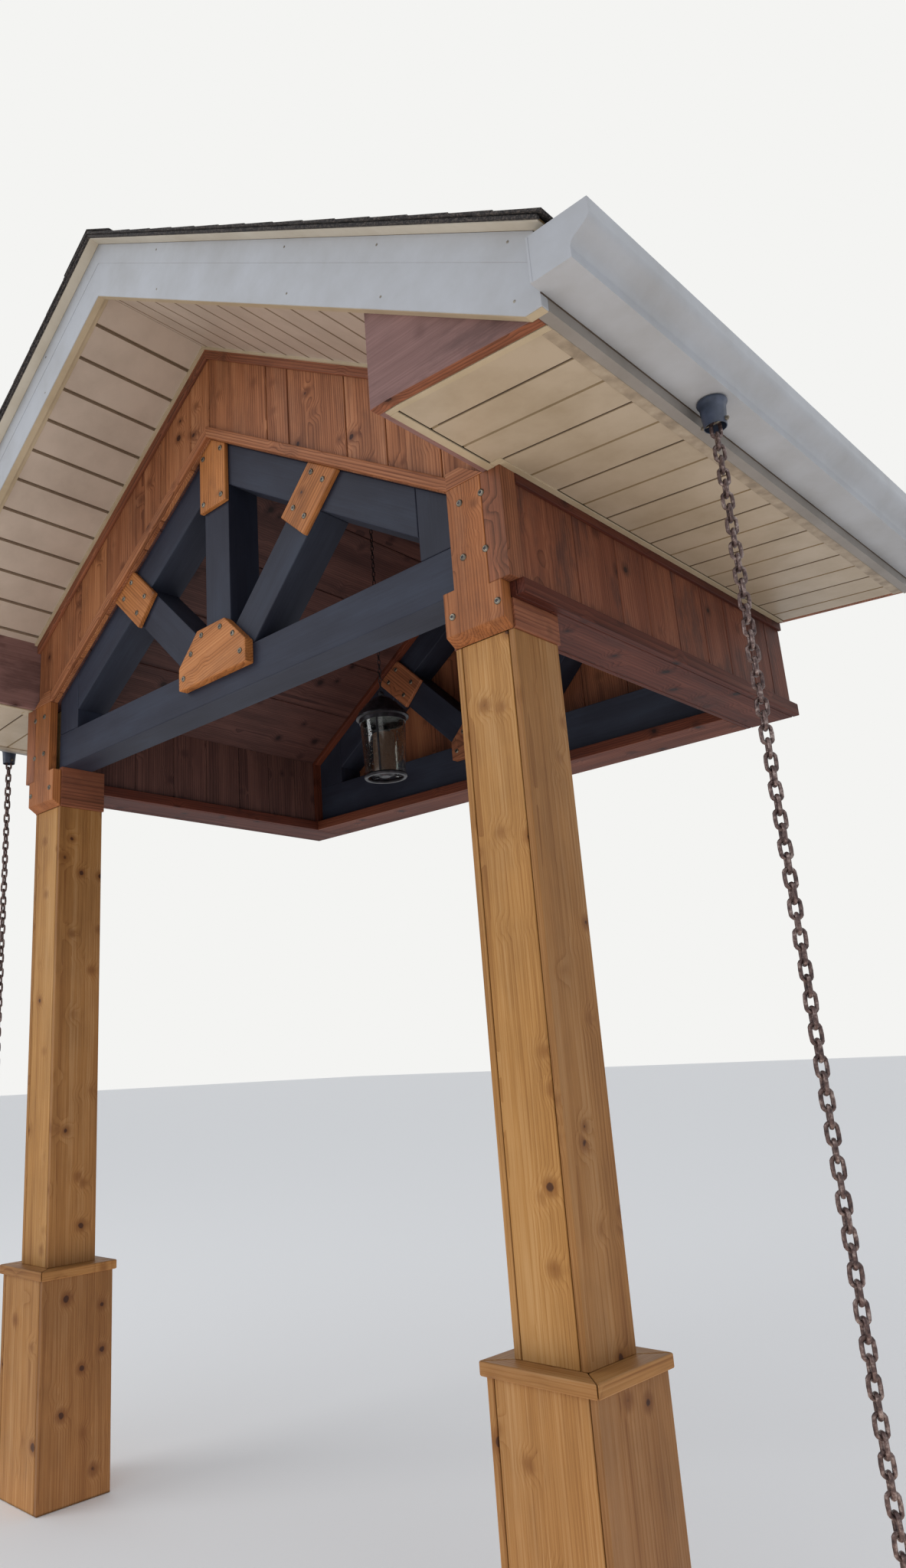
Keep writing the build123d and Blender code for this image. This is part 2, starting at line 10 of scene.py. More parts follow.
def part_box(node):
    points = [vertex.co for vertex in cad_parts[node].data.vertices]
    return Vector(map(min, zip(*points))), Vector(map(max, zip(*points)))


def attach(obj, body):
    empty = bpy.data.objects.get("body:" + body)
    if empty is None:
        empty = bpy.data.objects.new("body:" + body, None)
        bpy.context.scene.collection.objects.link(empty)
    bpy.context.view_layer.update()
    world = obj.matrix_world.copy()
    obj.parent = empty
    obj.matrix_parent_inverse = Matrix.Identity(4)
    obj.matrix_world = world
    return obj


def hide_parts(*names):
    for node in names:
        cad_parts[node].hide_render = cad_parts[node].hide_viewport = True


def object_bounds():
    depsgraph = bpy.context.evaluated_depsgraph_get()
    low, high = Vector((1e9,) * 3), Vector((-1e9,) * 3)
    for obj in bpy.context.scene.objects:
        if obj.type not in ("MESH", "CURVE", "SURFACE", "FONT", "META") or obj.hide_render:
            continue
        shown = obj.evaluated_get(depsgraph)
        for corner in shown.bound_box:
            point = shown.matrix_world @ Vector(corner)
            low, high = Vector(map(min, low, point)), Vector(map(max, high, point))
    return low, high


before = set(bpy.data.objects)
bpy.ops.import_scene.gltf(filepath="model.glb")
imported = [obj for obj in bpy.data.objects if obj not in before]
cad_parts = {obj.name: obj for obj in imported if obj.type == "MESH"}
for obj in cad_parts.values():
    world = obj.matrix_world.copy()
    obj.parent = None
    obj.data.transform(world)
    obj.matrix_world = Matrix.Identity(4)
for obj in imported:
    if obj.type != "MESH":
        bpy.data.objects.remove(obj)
cad_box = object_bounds()
draw = random.Random(41)

# Roof lines, each given by the height that its two slopes reach at the ridge
PITCH = 8 / 12
SLOPE = math.atan(PITCH)
ACROSS = math.cos(SLOPE)        # level distance for each metre down a slope


def apex_of(node):
    """Height of the ridge that a sloped node's underside runs up to."""
    low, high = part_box(node)
    return low.z + PITCH * high.x


CEILING = apex_of("ceiling_boards")
RAKE = apex_of("rake_soffit")
DECK = apex_of("roof_deck")
SHINGLES = apex_of("shingle_layer")
RIDGE = apex_of("ridge_cap")
FASCIA = RAKE - 0.020           # the rake fascia hangs below the rake soffit

# Timber sizes
BOARD = 0.019
PLUMB = BOARD / ACROSS          # a sloped board's thickness measured upright
EASE = 0.0016                   # eased edge of a sawn and sanded board
WALL_EASE = 0.0022
TRUSS_EASE = 0.003
ROUTED = 0.004                  # rounded edge of the plates and the rake trims
JOINT = 0.0012                  # gap between neighbouring boards
OPEN_JOINT = 0.0030             # gap between wall boards that have dried and shrunk

# Metal trims
SHEET = 0.0016                  # step between lapped fascia covers
CHANNEL = 0.030                 # visible flange of the channel that holds the soffit
EAVE_PANEL = 0.127
RAKE_PANEL = 0.134
PANEL_GROOVE = 0.0045
RAKE_GROOVE = 0.0062
FIRST_EAVE_GROOVE = -2.013
RAKE_SEAM = 0.082               # lap between the fascia covers, below the deck

SIDES = (("left", -1), ("right", 1))

# Turns a lathed piece from upright to facing the front, or to lying across
FACING = Matrix.Rotation(math.pi / 2, 4, "X")
CROSSING = Matrix.Rotation(math.pi / 2, 4, "Y")


# Modelling helpers. Sizes are given for the right, where side is 1, and mirrored for the left, side -1.

def only(piece):
    """Selects one object and makes it active."""
    bpy.ops.object.select_all(action="DESELECT")
    piece.select_set(True)
    bpy.context.view_layer.objects.active = piece


def primitive(operator, **settings):
    """Mesh primitive with its place in its mesh."""
    bpy.ops.object.select_all(action="DESELECT")
    operator(**settings)
    bpy.ops.object.transform_apply(location=True, rotation=True, scale=True)
    return bpy.context.object


def block(side, low, high):
    """Cube between two corners, given in any order."""
    ends = [(side * x, y, z) for x, y, z in (low, high)]
    a = Vector([min(p) for p in zip(*ends)])
    b = Vector([max(p) for p in zip(*ends)])
    return primitive(bpy.ops.mesh.primitive_cube_add, size=1, location=(a + b) / 2, scale=b - a)


def saw(piece, *cuts):
    """Cuts a piece with planes, each a point and the normal of the side that falls away."""
    only(piece)
    bpy.ops.object.mode_set(mode="EDIT")
    for point, normal in cuts:
        bpy.ops.mesh.select_all(action="SELECT")
        bpy.ops.mesh.bisect(plane_co=point, plane_no=normal, use_fill=True, clear_outer=True)
    bpy.ops.object.mode_set(mode="OBJECT")
    return piece


def below(apex, side):
    """Cut that leaves what lies under a roof line on one side."""
    return (0, 0, apex), (side * PITCH, 0, 1)


def above(apex, side):
    """Cut that leaves what lies over a roof line on one side."""
    return (0, 0, apex), (-side * PITCH, 0, -1)


def band(side, low, high, top, foot):
    """Block between two roof lines, from the middle out to one side."""
    return saw(block(side, low, high), below(top, side), above(foot, side), ((0, 0, 0), (-side, 0, 0)))


def apply_modifier(piece, kind, **settings):
    """Adds a modifier with its settings and applies it."""
    only(piece)
    modifier = piece.modifiers.new(kind.lower(), kind)
    for key, value in settings.items():
        setattr(modifier, key, value)
    bpy.ops.object.modifier_apply(modifier=modifier.name)
    return piece


def ease(piece, width, segments=1):
    """Rounds the sharp edges of a piece."""
    return apply_modifier(piece, "BEVEL", width=width, segments=segments, limit_method="ANGLE",
                          angle_limit=math.radians(30), harden_normals=False)


def grain(piece, along=(0, 0, 1), tone=None):
    """Stores a board's wood coordinates, with x along its grain, and its tone, from dark (-2) to pale (2)."""
    a = Vector(along).normalized()
    c = Vector((0, 1, 0)) if abs(a.y) < 0.9 else Vector((1, 0, 0))
    b = c.cross(a).normalized()
    shift = Vector((draw.uniform(-9, 9), draw.uniform(-0.2, 0.2), draw.uniform(0.03, 0.16)))
    mesh = piece.data
    middle = sum((v.co for v in mesh.vertices), Vector()) / len(mesh.vertices)
    value = draw.uniform(-1, 1) if tone is None else tone
    wood = mesh.attributes.new("grain", "FLOAT_VECTOR", "POINT")
    for point, vertex in zip(wood.data, mesh.vertices):
        p = vertex.co - middle
        point.vector = Vector((p.dot(a), p.dot(b), p.dot(c))) + shift
    shades = mesh.attributes.new("tone", "FLOAT", "POINT")
    for point in shades.data:
        point.value = value
    return piece


def dress(piece, along=(0, 0, 1), edge=EASE, tone=None, segments=1):
    """Eases a board's edges and gives it its grain."""
    return grain(ease(piece, edge, segments) if edge else piece, along, tone)


def board(side, low, high, along=(0, 0, 1), cuts=(), edge=EASE, tone=None, segments=1):
    """Eased board between two corners, cut by planes, with its grain along a direction."""
    piece = block(side, low, high)
    return dress(saw(piece, *cuts) if cuts else piece, along, edge, tone, segments)


def eave_corner():
    """Foot of the corner board's outer edge, where the eave soffit starts to fall, and its fall."""
    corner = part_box("corner_boards")[1]
    low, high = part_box("right_eave_soffit")
    return corner, (corner.z - low.z) / (high.x - corner.x)


def hang(piece):
    """Bends a level piece down along the fall of the eave soffit."""
    corner, fall = eave_corner()
    only(piece)
    bpy.ops.object.mode_set(mode="EDIT")
    for side in (-1, 1):
        bpy.ops.mesh.select_all(action="SELECT")
        bpy.ops.mesh.bisect(plane_co=(side * corner.x, 0, 0), plane_no=(1, 0, 0))
    bpy.ops.object.mode_set(mode="OBJECT")
    for vertex in piece.data.vertices:
        vertex.co.z -= fall * max(0, abs(vertex.co.x) - corner.x)
    return piece


def down_slope(side):
    """Direction down the roof on one side."""
    return Vector((side * ACROSS, 0, -math.sin(SLOPE)))


def join(pieces):
    """Joins pieces into one object."""
    only(pieces[0])
    for piece in pieces:
        piece.select_set(True)
    if len(pieces) > 1:
        bpy.ops.object.join()
    return bpy.context.object


def twin(piece, matrix):
    """Copy of a piece with its own mesh, moved by a matrix."""
    copy = piece.copy()
    copy.data = piece.data.copy()
    copy.data.transform(matrix)
    if matrix.is_negative:
        copy.data.flip_normals()
    bpy.context.scene.collection.objects.link(copy)
    return copy


def smooth(piece, angle=40):
    """Shades a piece smooth except at its sharp edges."""
    only(piece)
    bpy.ops.object.shade_smooth_by_angle(angle=math.radians(angle))
    return piece


def lathe(profile, place=Matrix(), steps=48):
    """Spins a profile of (radius, height) points about an upright axis, then puts it in its place."""
    piece = primitive(bpy.ops.mesh.primitive_plane_add, size=0.001, location=(0, 0, 0))
    bpy.ops.object.mode_set(mode="EDIT")
    bpy.ops.mesh.select_all(action="SELECT")
    bpy.ops.mesh.merge(type="CENTER")
    bpy.ops.transform.translate(value=(profile[0][0], 0, profile[0][1]))
    for (r0, z0), (r1, z1) in zip(profile, profile[1:]):
        bpy.ops.mesh.extrude_region_move(TRANSFORM_OT_translate={"value": (r1 - r0, 0, z1 - z0)})
    bpy.ops.mesh.select_all(action="SELECT")
    bpy.ops.mesh.spin(steps=steps, angle=math.tau, center=(0, 0, 0), axis=(0, 0, 1))
    bpy.ops.mesh.select_all(action="SELECT")
    bpy.ops.mesh.remove_doubles(threshold=1e-5)
    bpy.ops.mesh.normals_make_consistent(inside=False)
    bpy.ops.object.mode_set(mode="OBJECT")
    smooth(piece).data.transform(place)
    return piece


def finish_piece(name, pieces, material, slot=None, *nodes):
    """Joins pieces under a name, with their material and the nodes that they stand for. The slot is not used.
    """
    piece = join(pieces)
    piece.name = piece.data.name = name
    piece.data.materials.clear()
    piece.data.materials.append(material)
    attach(piece, "root")
    if nodes:
        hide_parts(*nodes)
    return piece


# Materials

def tint(code):
    """sRGB hex to a linear colour."""
    parts = [int(code[i:i + 2], 16) / 255 for i in (1, 3, 5)]
    return [c / 12.92 if c <= 0.04045 else ((c + 0.055) / 1.055) ** 2.4 for c in parts] + [1]


def feed(tree, node, inputs):
    """Sets or links a node's inputs."""
    for key, value in inputs.items():
        if isinstance(value, bpy.types.NodeSocket):
            tree.links.new(value, node.inputs[key])
        else:
            node.inputs[key].default_value = value


def add(tree, kind, inputs=None, out=0, stops=(), **settings):
    """Adds a node with its settings, colour stops and inputs, and gives one of its outputs."""
    made = tree.nodes.new(kind)
    for key, value in settings.items():
        setattr(made, key, value)
    if stops:
        shades = made.color_ramp.elements
        while len(shades) < len(stops):
            shades.new(0.5)
        for shade, (place, code) in zip(shades, stops):
            shade.position = place
            shade.color = tint(code)
    feed(tree, made, inputs or {})
    return made.outputs[out] if made.outputs else made


def new_material(name):
    """Material with a bare surface shader."""
    material = bpy.data.materials.new(name)
    material.use_nodes = True
    return material, material.node_tree, material.node_tree.nodes["Principled BSDF"]


def drawn_noise(tree, place, scale, detail, roughness=0.5):
    """Noise with a scale of its own along each axis, such as fibres."""
    drawn = add(tree, "ShaderNodeMapping", {"Vector": place, "Scale": scale})
    return add(tree, "ShaderNodeTexNoise", {"Vector": drawn, "Scale": 1.0, "Detail": detail,
                                            "Roughness": roughness})


def stained_wood(name, pale, mid, deep, knot, gloss=0.42, figure=1.0, weather=0.3):
    """Knotty cedar under a clear stain: growth rings, fibres and knots in each board's own coordinates."""
    material, tree, shader = new_material(name)
    wood = add(tree, "ShaderNodeAttribute", out="Vector", attribute_name="grain")
    tone = add(tree, "ShaderNodeAttribute", out="Fac", attribute_name="tone")
    # Branches 10 to 40 mm thick cross the board here and there: the distance to the nearest one, in metres.
    spacing = (5.0, 10.0, 10.0)
    cells = add(tree, "ShaderNodeMapping", {"Vector": wood, "Scale": spacing})
    branch = add(tree, "ShaderNodeTexVoronoi", {"Vector": cells, "Scale": 1.0}, "Position")
    gap = add(tree, "ShaderNodeVectorMath", {0: branch, 1: cells}, operation="SUBTRACT")
    gap = add(tree, "ShaderNodeVectorMath", {0: gap, 1: [1 / c for c in spacing]}, operation="MULTIPLY")
    away = add(tree, "ShaderNodeVectorMath", {0: gap}, "Value", operation="LENGTH")
    ragged = add(tree, "ShaderNodeTexNoise", {"Vector": wood, "Scale": 55.0, "Detail": 2.0})
    size = add(tree, "ShaderNodeSeparateColor", {"Color": branch.node.outputs["Color"]})
    for amount, factor in ((ragged, 0.009), (size, -0.011)):
        away = add(tree, "ShaderNodeMath", {0: amount, 1: factor, 2: away}, operation="MULTIPLY_ADD")
    # The rings swell round a branch, and bend the fibres' pattern with them.
    swell = add(tree, "ShaderNodeMapRange",
                {"Value": away, "From Max": 0.060, "To Min": 0.015, "To Max": 0.0},
                interpolation_type="SMOOTHERSTEP")
    shove = add(tree, "ShaderNodeCombineXYZ", {"Y": swell, "Z": swell})
    bent = add(tree, "ShaderNodeVectorMath", {0: wood, 1: shove}, operation="ADD")
    # Growth rings about 9 mm apart, drawn out along the trunk.
    trunk = add(tree, "ShaderNodeMapping", {"Vector": bent, "Scale": (0.045, 1, 1)})
    rings = add(tree, "ShaderNodeTexWave",
                {"Vector": trunk, "Scale": 34.0, "Distortion": 2.6, "Detail": 2.0, "Detail Scale": 0.8,
                 "Detail Roughness": 0.5}, "Fac", wave_type="RINGS", rings_direction="X", wave_profile="SAW")
    sharp = add(tree, "ShaderNodeMath", {0: rings, 1: 3.0}, operation="POWER")
    # Fibres under a millimetre wide, drawn 2 mm wide so that they show, and streaks of heartwood 4 cm wide.
    fibres = drawn_noise(tree, wood, (4, 230, 230), 4.0)
    streaks = drawn_noise(tree, bent, (0.9, 17, 17), 4.0, 0.56)
    share = 0.55 + 0.23 * figure
    parts = 0.29 - 0.5 * share
    for amount, factor in ((sharp, 0.30 * figure), (fibres, 0.50), (streaks, share)):
        parts = add(tree, "ShaderNodeMath", {0: amount, 1: factor, 2: parts}, operation="MULTIPLY_ADD")
    colour = add(tree, "ShaderNodeValToRGB", {"Fac": parts}, stops=((0.34, pale), (0.58, mid), (0.86, deep)))
    # A halo of deeper wood 9 to 32 mm from a branch's axis, and its heart within 10 mm.
    for near, far, most, code in ((0.009, 0.032, 0.8, deep), (0.0065, 0.0105, 1.0, knot)):
        spot = add(tree, "ShaderNodeMapRange",
                   {"Value": away, "From Min": near, "From Max": far, "To Min": most, "To Max": 0.0},
                   interpolation_type="SMOOTHSTEP")
        colour = add(tree, "ShaderNodeMix", {"Factor": spot, 6: colour, 7: tint(code)}, 2, data_type="RGBA")
    # Rain and hands leave grey-violet stains in patches a hand long.
    patch = drawn_noise(tree, wood, (2.4, 7, 7), 6.0, 0.68)
    patch = add(tree, "ShaderNodeMapRange",
                {"Value": patch, "From Min": 0.45, "From Max": 0.66, "To Min": 0.0, "To Max": weather},
                interpolation_type="SMOOTHSTEP")
    colour = add(tree, "ShaderNodeMix", {"Factor": patch, 6: colour, 7: tint("#352423")}, 2, data_type="RGBA")
    # Stain lies thick in one place and thin in another, over a hand's breadth.
    cloud = add(tree, "ShaderNodeTexNoise", {"Vector": wood, "Scale": 5.0, "Detail": 3.0})
    bright = 0.86
    for amount, factor in ((tone, 0.16), (cloud, 0.28)):
        bright = add(tree, "ShaderNodeMath", {0: amount, 1: factor, 2: bright}, operation="MULTIPLY_ADD")
    hue = add(tree, "ShaderNodeMath", {0: tone, 1: 0.003, 2: 0.5}, operation="MULTIPLY_ADD")
    colour = add(tree, "ShaderNodeHueSaturation", {"Color": colour, "Value": bright, "Hue": hue})
    rough = add(tree, "ShaderNodeMath", {0: parts, 1: 0.16, 2: gloss}, operation="MULTIPLY_ADD")
    relief = add(tree, "ShaderNodeMath", {0: fibres, 1: 0.7, 2: sharp}, operation="MULTIPLY_ADD")
    bump = add(tree, "ShaderNodeBump", {"Height": relief, "Strength": 0.22, "Distance": 0.0015})
    feed(tree, shader, {"Base Color": colour, "Roughness": rough, "Specular IOR Level": 0.2, "Normal": bump})
    return material


def black_paint():
    """Charcoal exterior paint rolled on planed timber, with the grain just showing through."""
    material, tree, shader = new_material("charcoal_painted_timber")
    wood = add(tree, "ShaderNodeAttribute", out="Vector", attribute_name="grain")
    tone = add(tree, "ShaderNodeAttribute", out="Fac", attribute_name="tone")
    fibres = drawn_noise(tree, wood, (4, 170, 170), 3.0)
    patches = drawn_noise(tree, wood, (3, 9, 9), 4.0)
    mixed = add(tree, "ShaderNodeMath", {0: fibres, 1: 0.35, 2: patches}, operation="MULTIPLY_ADD")
    colour = add(tree, "ShaderNodeValToRGB", {"Fac": mixed},
                 stops=((0.35, "#171b29"), (0.65, "#212533"), (0.95, "#2b3241")))
    bright = add(tree, "ShaderNodeMath", {0: tone, 1: 0.08, 2: 1.0}, operation="MULTIPLY_ADD")
    colour = add(tree, "ShaderNodeHueSaturation", {"Color": colour, "Value": bright})
    bump = add(tree, "ShaderNodeBump", {"Height": fibres, "Strength": 0.3, "Distance": 0.001})
    feed(tree, shader, {"Base Color": colour, "Roughness": 0.62, "Specular IOR Level": 0.3, "Normal": bump})
    return material


def coated_aluminium(name, base, dusty, gloss=0.38):
    """Coil-coated aluminium sheet: even satin paint with a little dust and faint oil-canning."""
    material, tree, shader = new_material(name)
    place = add(tree, "ShaderNodeTexCoord", out="Object")
    dust = add(tree, "ShaderNodeTexNoise", {"Vector": place, "Scale": 5.0, "Detail": 5.0, "Roughness": 0.62})
    colour = add(tree, "ShaderNodeValToRGB", {"Fac": dust}, stops=((0.38, base), (0.72, dusty)))
    rough = add(tree, "ShaderNodeMath", {0: dust, 1: 0.2, 2: gloss - 0.08}, operation="MULTIPLY_ADD")
    waves = add(tree, "ShaderNodeTexNoise", {"Vector": place, "Scale": 2.2, "Detail": 1.0})
    bump = add(tree, "ShaderNodeBump", {"Height": waves, "Strength": 0.25, "Distance": 0.006})
    feed(tree, shader, {"Base Color": colour, "Roughness": rough, "Normal": bump})
    return material


def asphalt_granules():
    """Asphalt shingle: crushed mineral granules, 2 mm across and drawn 4 mm, with a tone for each tab."""
    material, tree, shader = new_material("charcoal_asphalt_shingle")
    place = add(tree, "ShaderNodeTexCoord", out="Object")
    tone = add(tree, "ShaderNodeAttribute", out="Fac", attribute_name="tone")
    grit = add(tree, "ShaderNodeTexVoronoi", {"Vector": place, "Scale": 260.0}, "Color")
    speck = add(tree, "ShaderNodeSeparateColor", {"Color": grit})
    broad = add(tree, "ShaderNodeTexNoise", {"Vector": place, "Scale": 3.0, "Detail": 5.0})
    mixed = speck
    for amount, factor in ((broad, 0.5), (tone, 0.16)):
        mixed = add(tree, "ShaderNodeMath", {0: amount, 1: factor, 2: mixed}, operation="MULTIPLY_ADD")
    colour = add(tree, "ShaderNodeValToRGB", {"Fac": mixed},
                 stops=((0.25, "#1b1a1b"), (0.7, "#322f2e"), (1.0, "#4f4843")))
    bump = add(tree, "ShaderNodeBump", {"Height": speck, "Strength": 0.5, "Distance": 0.0012})
    feed(tree, shader, {"Base Color": colour, "Roughness": 0.92, "Normal": bump})
    return material


def mottled(name, dark, mid, light, scale, metallic, rough, relief=0.0, specks=0.5):
    """Metal whose colour wanders between three shades, as rust, patina or worn paint does."""
    material, tree, shader = new_material(name)
    place = add(tree, "ShaderNodeTexCoord", out="Object")
    cloud = add(tree, "ShaderNodeTexNoise",
                {"Vector": place, "Scale": scale, "Detail": 6.0, "Roughness": specks})
    colour = add(tree, "ShaderNodeValToRGB", {"Fac": cloud}, stops=((0.34, dark), (0.52, mid), (0.70, light)))
    varied = add(tree, "ShaderNodeMath", {0: cloud, 1: -0.25, 2: rough + 0.12}, operation="MULTIPLY_ADD")
    feed(tree, shader, {"Base Color": colour, "Metallic": metallic, "Roughness": varied})
    if relief:
        bump = add(tree, "ShaderNodeBump", {"Height": cloud, "Strength": 0.5, "Distance": relief})
        feed(tree, shader, {"Normal": bump})
    return material


def seeded_glass():
    """Blown glass with small bubbles, which show as ripples in what lies behind it."""
    material, tree, shader = new_material("seeded_glass")
    place = add(tree, "ShaderNodeTexCoord", out="Object")
    seeds = add(tree, "ShaderNodeTexVoronoi", {"Vector": place, "Scale": 90.0}, "Distance")
    drops = add(tree, "ShaderNodeMapRange", {"Value": seeds, "From Min": 0.05, "From Max": 0.3, "To Min": 1.0,
                                             "To Max": 0.0}, interpolation_type="SMOOTHSTEP")
    bump = add(tree, "ShaderNodeBump", {"Height": drops, "Strength": 0.4, "Distance": 0.002})
    feed(tree, shader, {"Base Color": tint("#e9ece6"), "Roughness": 0.03, "Transmission Weight": 1.0,
                        "IOR": 1.45, "Normal": bump})
    return material


def frosted_glass():
    """Etched inner cylinder: the light spreads in it, with a warm cast."""
    material, tree, shader = new_material("frosted_glass")
    place = add(tree, "ShaderNodeTexCoord", out="Object")
    etch = add(tree, "ShaderNodeTexNoise", {"Vector": place, "Scale": 160.0, "Detail": 3.0})
    colour = add(tree, "ShaderNodeValToRGB", {"Fac": etch}, stops=((0.3, "#8c6a5a"), (0.7, "#a78675")))
    feed(tree, shader, {"Base Color": colour, "Roughness": 0.45, "Transmission Weight": 0.55})
    return material


def plain_timber():
    """Planed framing spruce inside the walls and posts: pale, matt, with drawn-out streaks."""
    material, tree, shader = new_material("planed_spruce")
    place = add(tree, "ShaderNodeTexCoord", out="Object")
    streaks = drawn_noise(tree, place, (40, 3, 40), 4.0)
    colour = add(tree, "ShaderNodeValToRGB", {"Fac": streaks}, stops=((0.3, "#b09367"), (0.7, "#937448")))
    feed(tree, shader, {"Base Color": colour, "Roughness": 0.7})
    return material


# Posts: a nearly clear stain, which leaves knots dark on honey wood with a soft shine.
honey = stained_wood("honey_stained_cedar", "#b58c5b", "#a27540", "#7d5024", "#482a16", figure=0.5,
                     weather=0.12)
# Collars and rear boards: a stain with iron oxide, brown with a dull shine.
russet = stained_wood("russet_stained_cedar", "#9b6445", "#845038", "#5b3725", "#311910", gloss=0.45)
# Front gable: the same stain, painted lighter for the sunlight on it, with strong flame figure.
copper = stained_wood("copper_stained_cedar", "#b57e58", "#9d6542", "#72442b", "#391e15", gloss=0.45,
                      figure=1.1)
# Plates and face boards: stained, the brightest wood; the rear truss's plates get the darker russet stain
# instead, as painted shade.
orange = stained_wood("orange_stained_cedar", "#b27648", "#9d6135", "#714220", "#392b28")
# Outer walls: rain has blotched the stain grey-violet.
umber = stained_wood("umber_stained_cedar", "#84523b", "#6f3f2d", "#4b281b", "#27140e", gloss=0.5, figure=0.8,
                     weather=0.7)
# Sills and friezes: a deep red in which little grain shows through; on the friezes it is painted shade under
# the soffit.
redwood = stained_wood("red_stained_cedar", "#6b3b29", "#56291b", "#38180f", "#200d09", gloss=0.5, figure=0.8)
# Ceiling and room side: a dark stain, painted darker still for the shade inside the porch, where the sun
# doesn't reach.
mahogany = stained_wood("mahogany_stain_and_shade_boards", "#674740", "#523732", "#382322", "#221414", gloss=0.45)
# Returns: bleached and dusty, flat in colour, with faint stains; their grey-violet cast is partly painted
# shade and sky reflection.
faded_and_shaded = stained_wood("faded_and_shaded_return_boards", "#93716b", "#7e5f59", "#664944", "#4e3631", gloss=0.5,
                         figure=0.05, weather=0.45)
charcoal = black_paint()
# Soffit panels under the eaves and the rake: satin cream coats, the rake's painted a little lighter than the
# eaves' for the light on it; the groove faces get darker coats, partly dust and partly painted shade in the
# grooves.
cream = coated_aluminium("cream_coated_soffit", "#afa08a", "#9e8e76")
ecru = coated_aluminium("ecru_coated_soffit", "#b8aa9c", "#a89a8c")
shade = coated_aluminium("shaded_soffit_grooves", "#837052", "#746245", gloss=0.6)
dusk = coated_aluminium("dusty_and_shaded_soffit_grooves", "#7f6e5a", "#715f4d", gloss=0.6)
# Open joints, in which old dirt and sealant look nearly black; the same near-black coat also paints the
# shadow in the gap between each gutter and its fascia.
grime_and_shadow = coated_aluminium("grimy_joints_and_painted_shadow", "#524232", "#3b2e23", gloss=0.7)
# Outer channels: a darker, blotchy cream-brown than the inner ones.
darker_blotchy = mottled("darker_blotchy_soffit_channel", "#867865", "#9c8d78", "#aa9c87", 24.0, 0.0, 0.50)
# Bent trims: the same satin coats, each painted its own cream or grey for the light on it: bluish grey for
# the sky-lit fronts of the fascia covers and gutters, cream for the parts seen from below in warm light, and
# a darker taupe for the eave fascias in the shade under the gutters.
almond = coated_aluminium("almond_coated_trim", "#b5a68b", "#a49478")
ivory = coated_aluminium("ivory_coated_drip_edge", "#c6bead", "#b6ac99")
taupe = coated_aluminium("taupe_coated_fascia", "#87817a", "#79736b")
pale = coated_aluminium("pale_coated_fascia", "#a7aaae", "#9b9c9d")
asphalt = asphalt_granules()
# Outlets: sprayed steel, even blue-grey with a slight sheen.
slate = mottled("slate_painted_steel", "#293241", "#353e50", "#414a5d", 30.0, 0.0, 0.40)
# Rain chains: welded steel, pitted brown, with pale specks that paint highlights on the links.
rusty = mottled("rusty_chain_steel_painted_highlights", "#2d2123", "#5f4c48", "#a3948e", 90.0, 0.45, 0.38, relief=0.0008,
                specks=0.65)
# Lantern: powder-coated steel, nearly black with brown lights.
bronze = mottled("dark_bronze_steel", "#131215", "#1d1b20", "#302c32", 40.0, 0.5, 0.38)
# Screws and nails: zinc plate gone dull grey.
zinc = mottled("zinc_plated_steel", "#504b42", "#6e685d", "#8f8a7e", 60.0, 0.7, 0.40)
glass = seeded_glass()
frosted = frosted_glass()
spruce = plain_timber()


# Posts

PEDESTAL_TONE, SHAFT_TONE = -0.9, 0.15
MITRE_GAP = 0.0016              # half the open mitre between two cap boards


def boxed_column(node, side, tone):
    """Four boards round a core: the side boards cover the edges of the front and back ones."""
    low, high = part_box(node)
    inset = BOARD + OPEN_JOINT
    pieces = [
        board(1, low, (low.x + BOARD, high.y, high.z), tone=tone if side > 0 else tone - 0.3),
        # Painted shade: the board facing +X is darker by 1.4 in tone, for the shaded right sides of the posts
        # and pedestals.
        board(1, (high.x - BOARD, low.y, low.z), high, tone=tone - 1.4),
        board(1, (low.x + inset, low.y, low.z), (high.x - inset, low.y + BOARD, high.z), tone=tone + 0.4),
        board(1, (low.x + inset, high.y - BOARD, low.z), (high.x - inset, high.y, high.z), tone=tone),
    ]
    finish_piece(f"{node}_boards", pieces, honey, "stained_cedar", node)


def mitred_cap(name):
    """Four boards mitred round a shaft, with their upper edges rounded."""
    low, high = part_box("pedestal_caps")
    shaft_low, shaft_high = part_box(f"{name}_post_shaft")
    core_low, core_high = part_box("post_cores")
    centre = (shaft_low + shaft_high) / 2
    half, hole = (high.y - low.y) / 2, (core_high.y - core_low.y) / 2
    middle, foot, top = (Vector((centre.x, centre.y, z)) for z in (0, low.z, high.z))
    pieces = []
    for quarter in range(4):
        turn = Matrix.Rotation(quarter * math.pi / 2, 4, "Z")
        out, across = turn @ Vector((0, -1, 0)), turn @ Vector((1, 0, 0))
        seam = middle + out * MITRE_GAP
        mitres = [(seam, across - out), (seam, -across - out)]
        pieces.append(board(1, foot + out * half - across * half, top + out * hole + across * half, across,
                            mitres, 0.003, draw.uniform(-1.2, -0.4), 2))
    return pieces


def post_feet():
    for name, side in SIDES:
        boxed_column(f"{name}_pedestal", side, PEDESTAL_TONE)
        boxed_column(f"{name}_post_shaft", side, SHAFT_TONE)
    caps = mitred_cap("left") + mitred_cap("right")
    finish_piece("pedestal_cap_boards", caps, honey, "stained_cedar", "pedestal_caps")


BLOCK_HEIGHT = 0.157            # foot of a face board, below its stem
BLOCK_SLOPE = 0.025
STEM_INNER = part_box("post_face_boards")[1].x - 0.160
CORNER_WIDTH = 0.070
COLLAR_SETBACK = 0.0008         # of the collars' ends behind the face boards


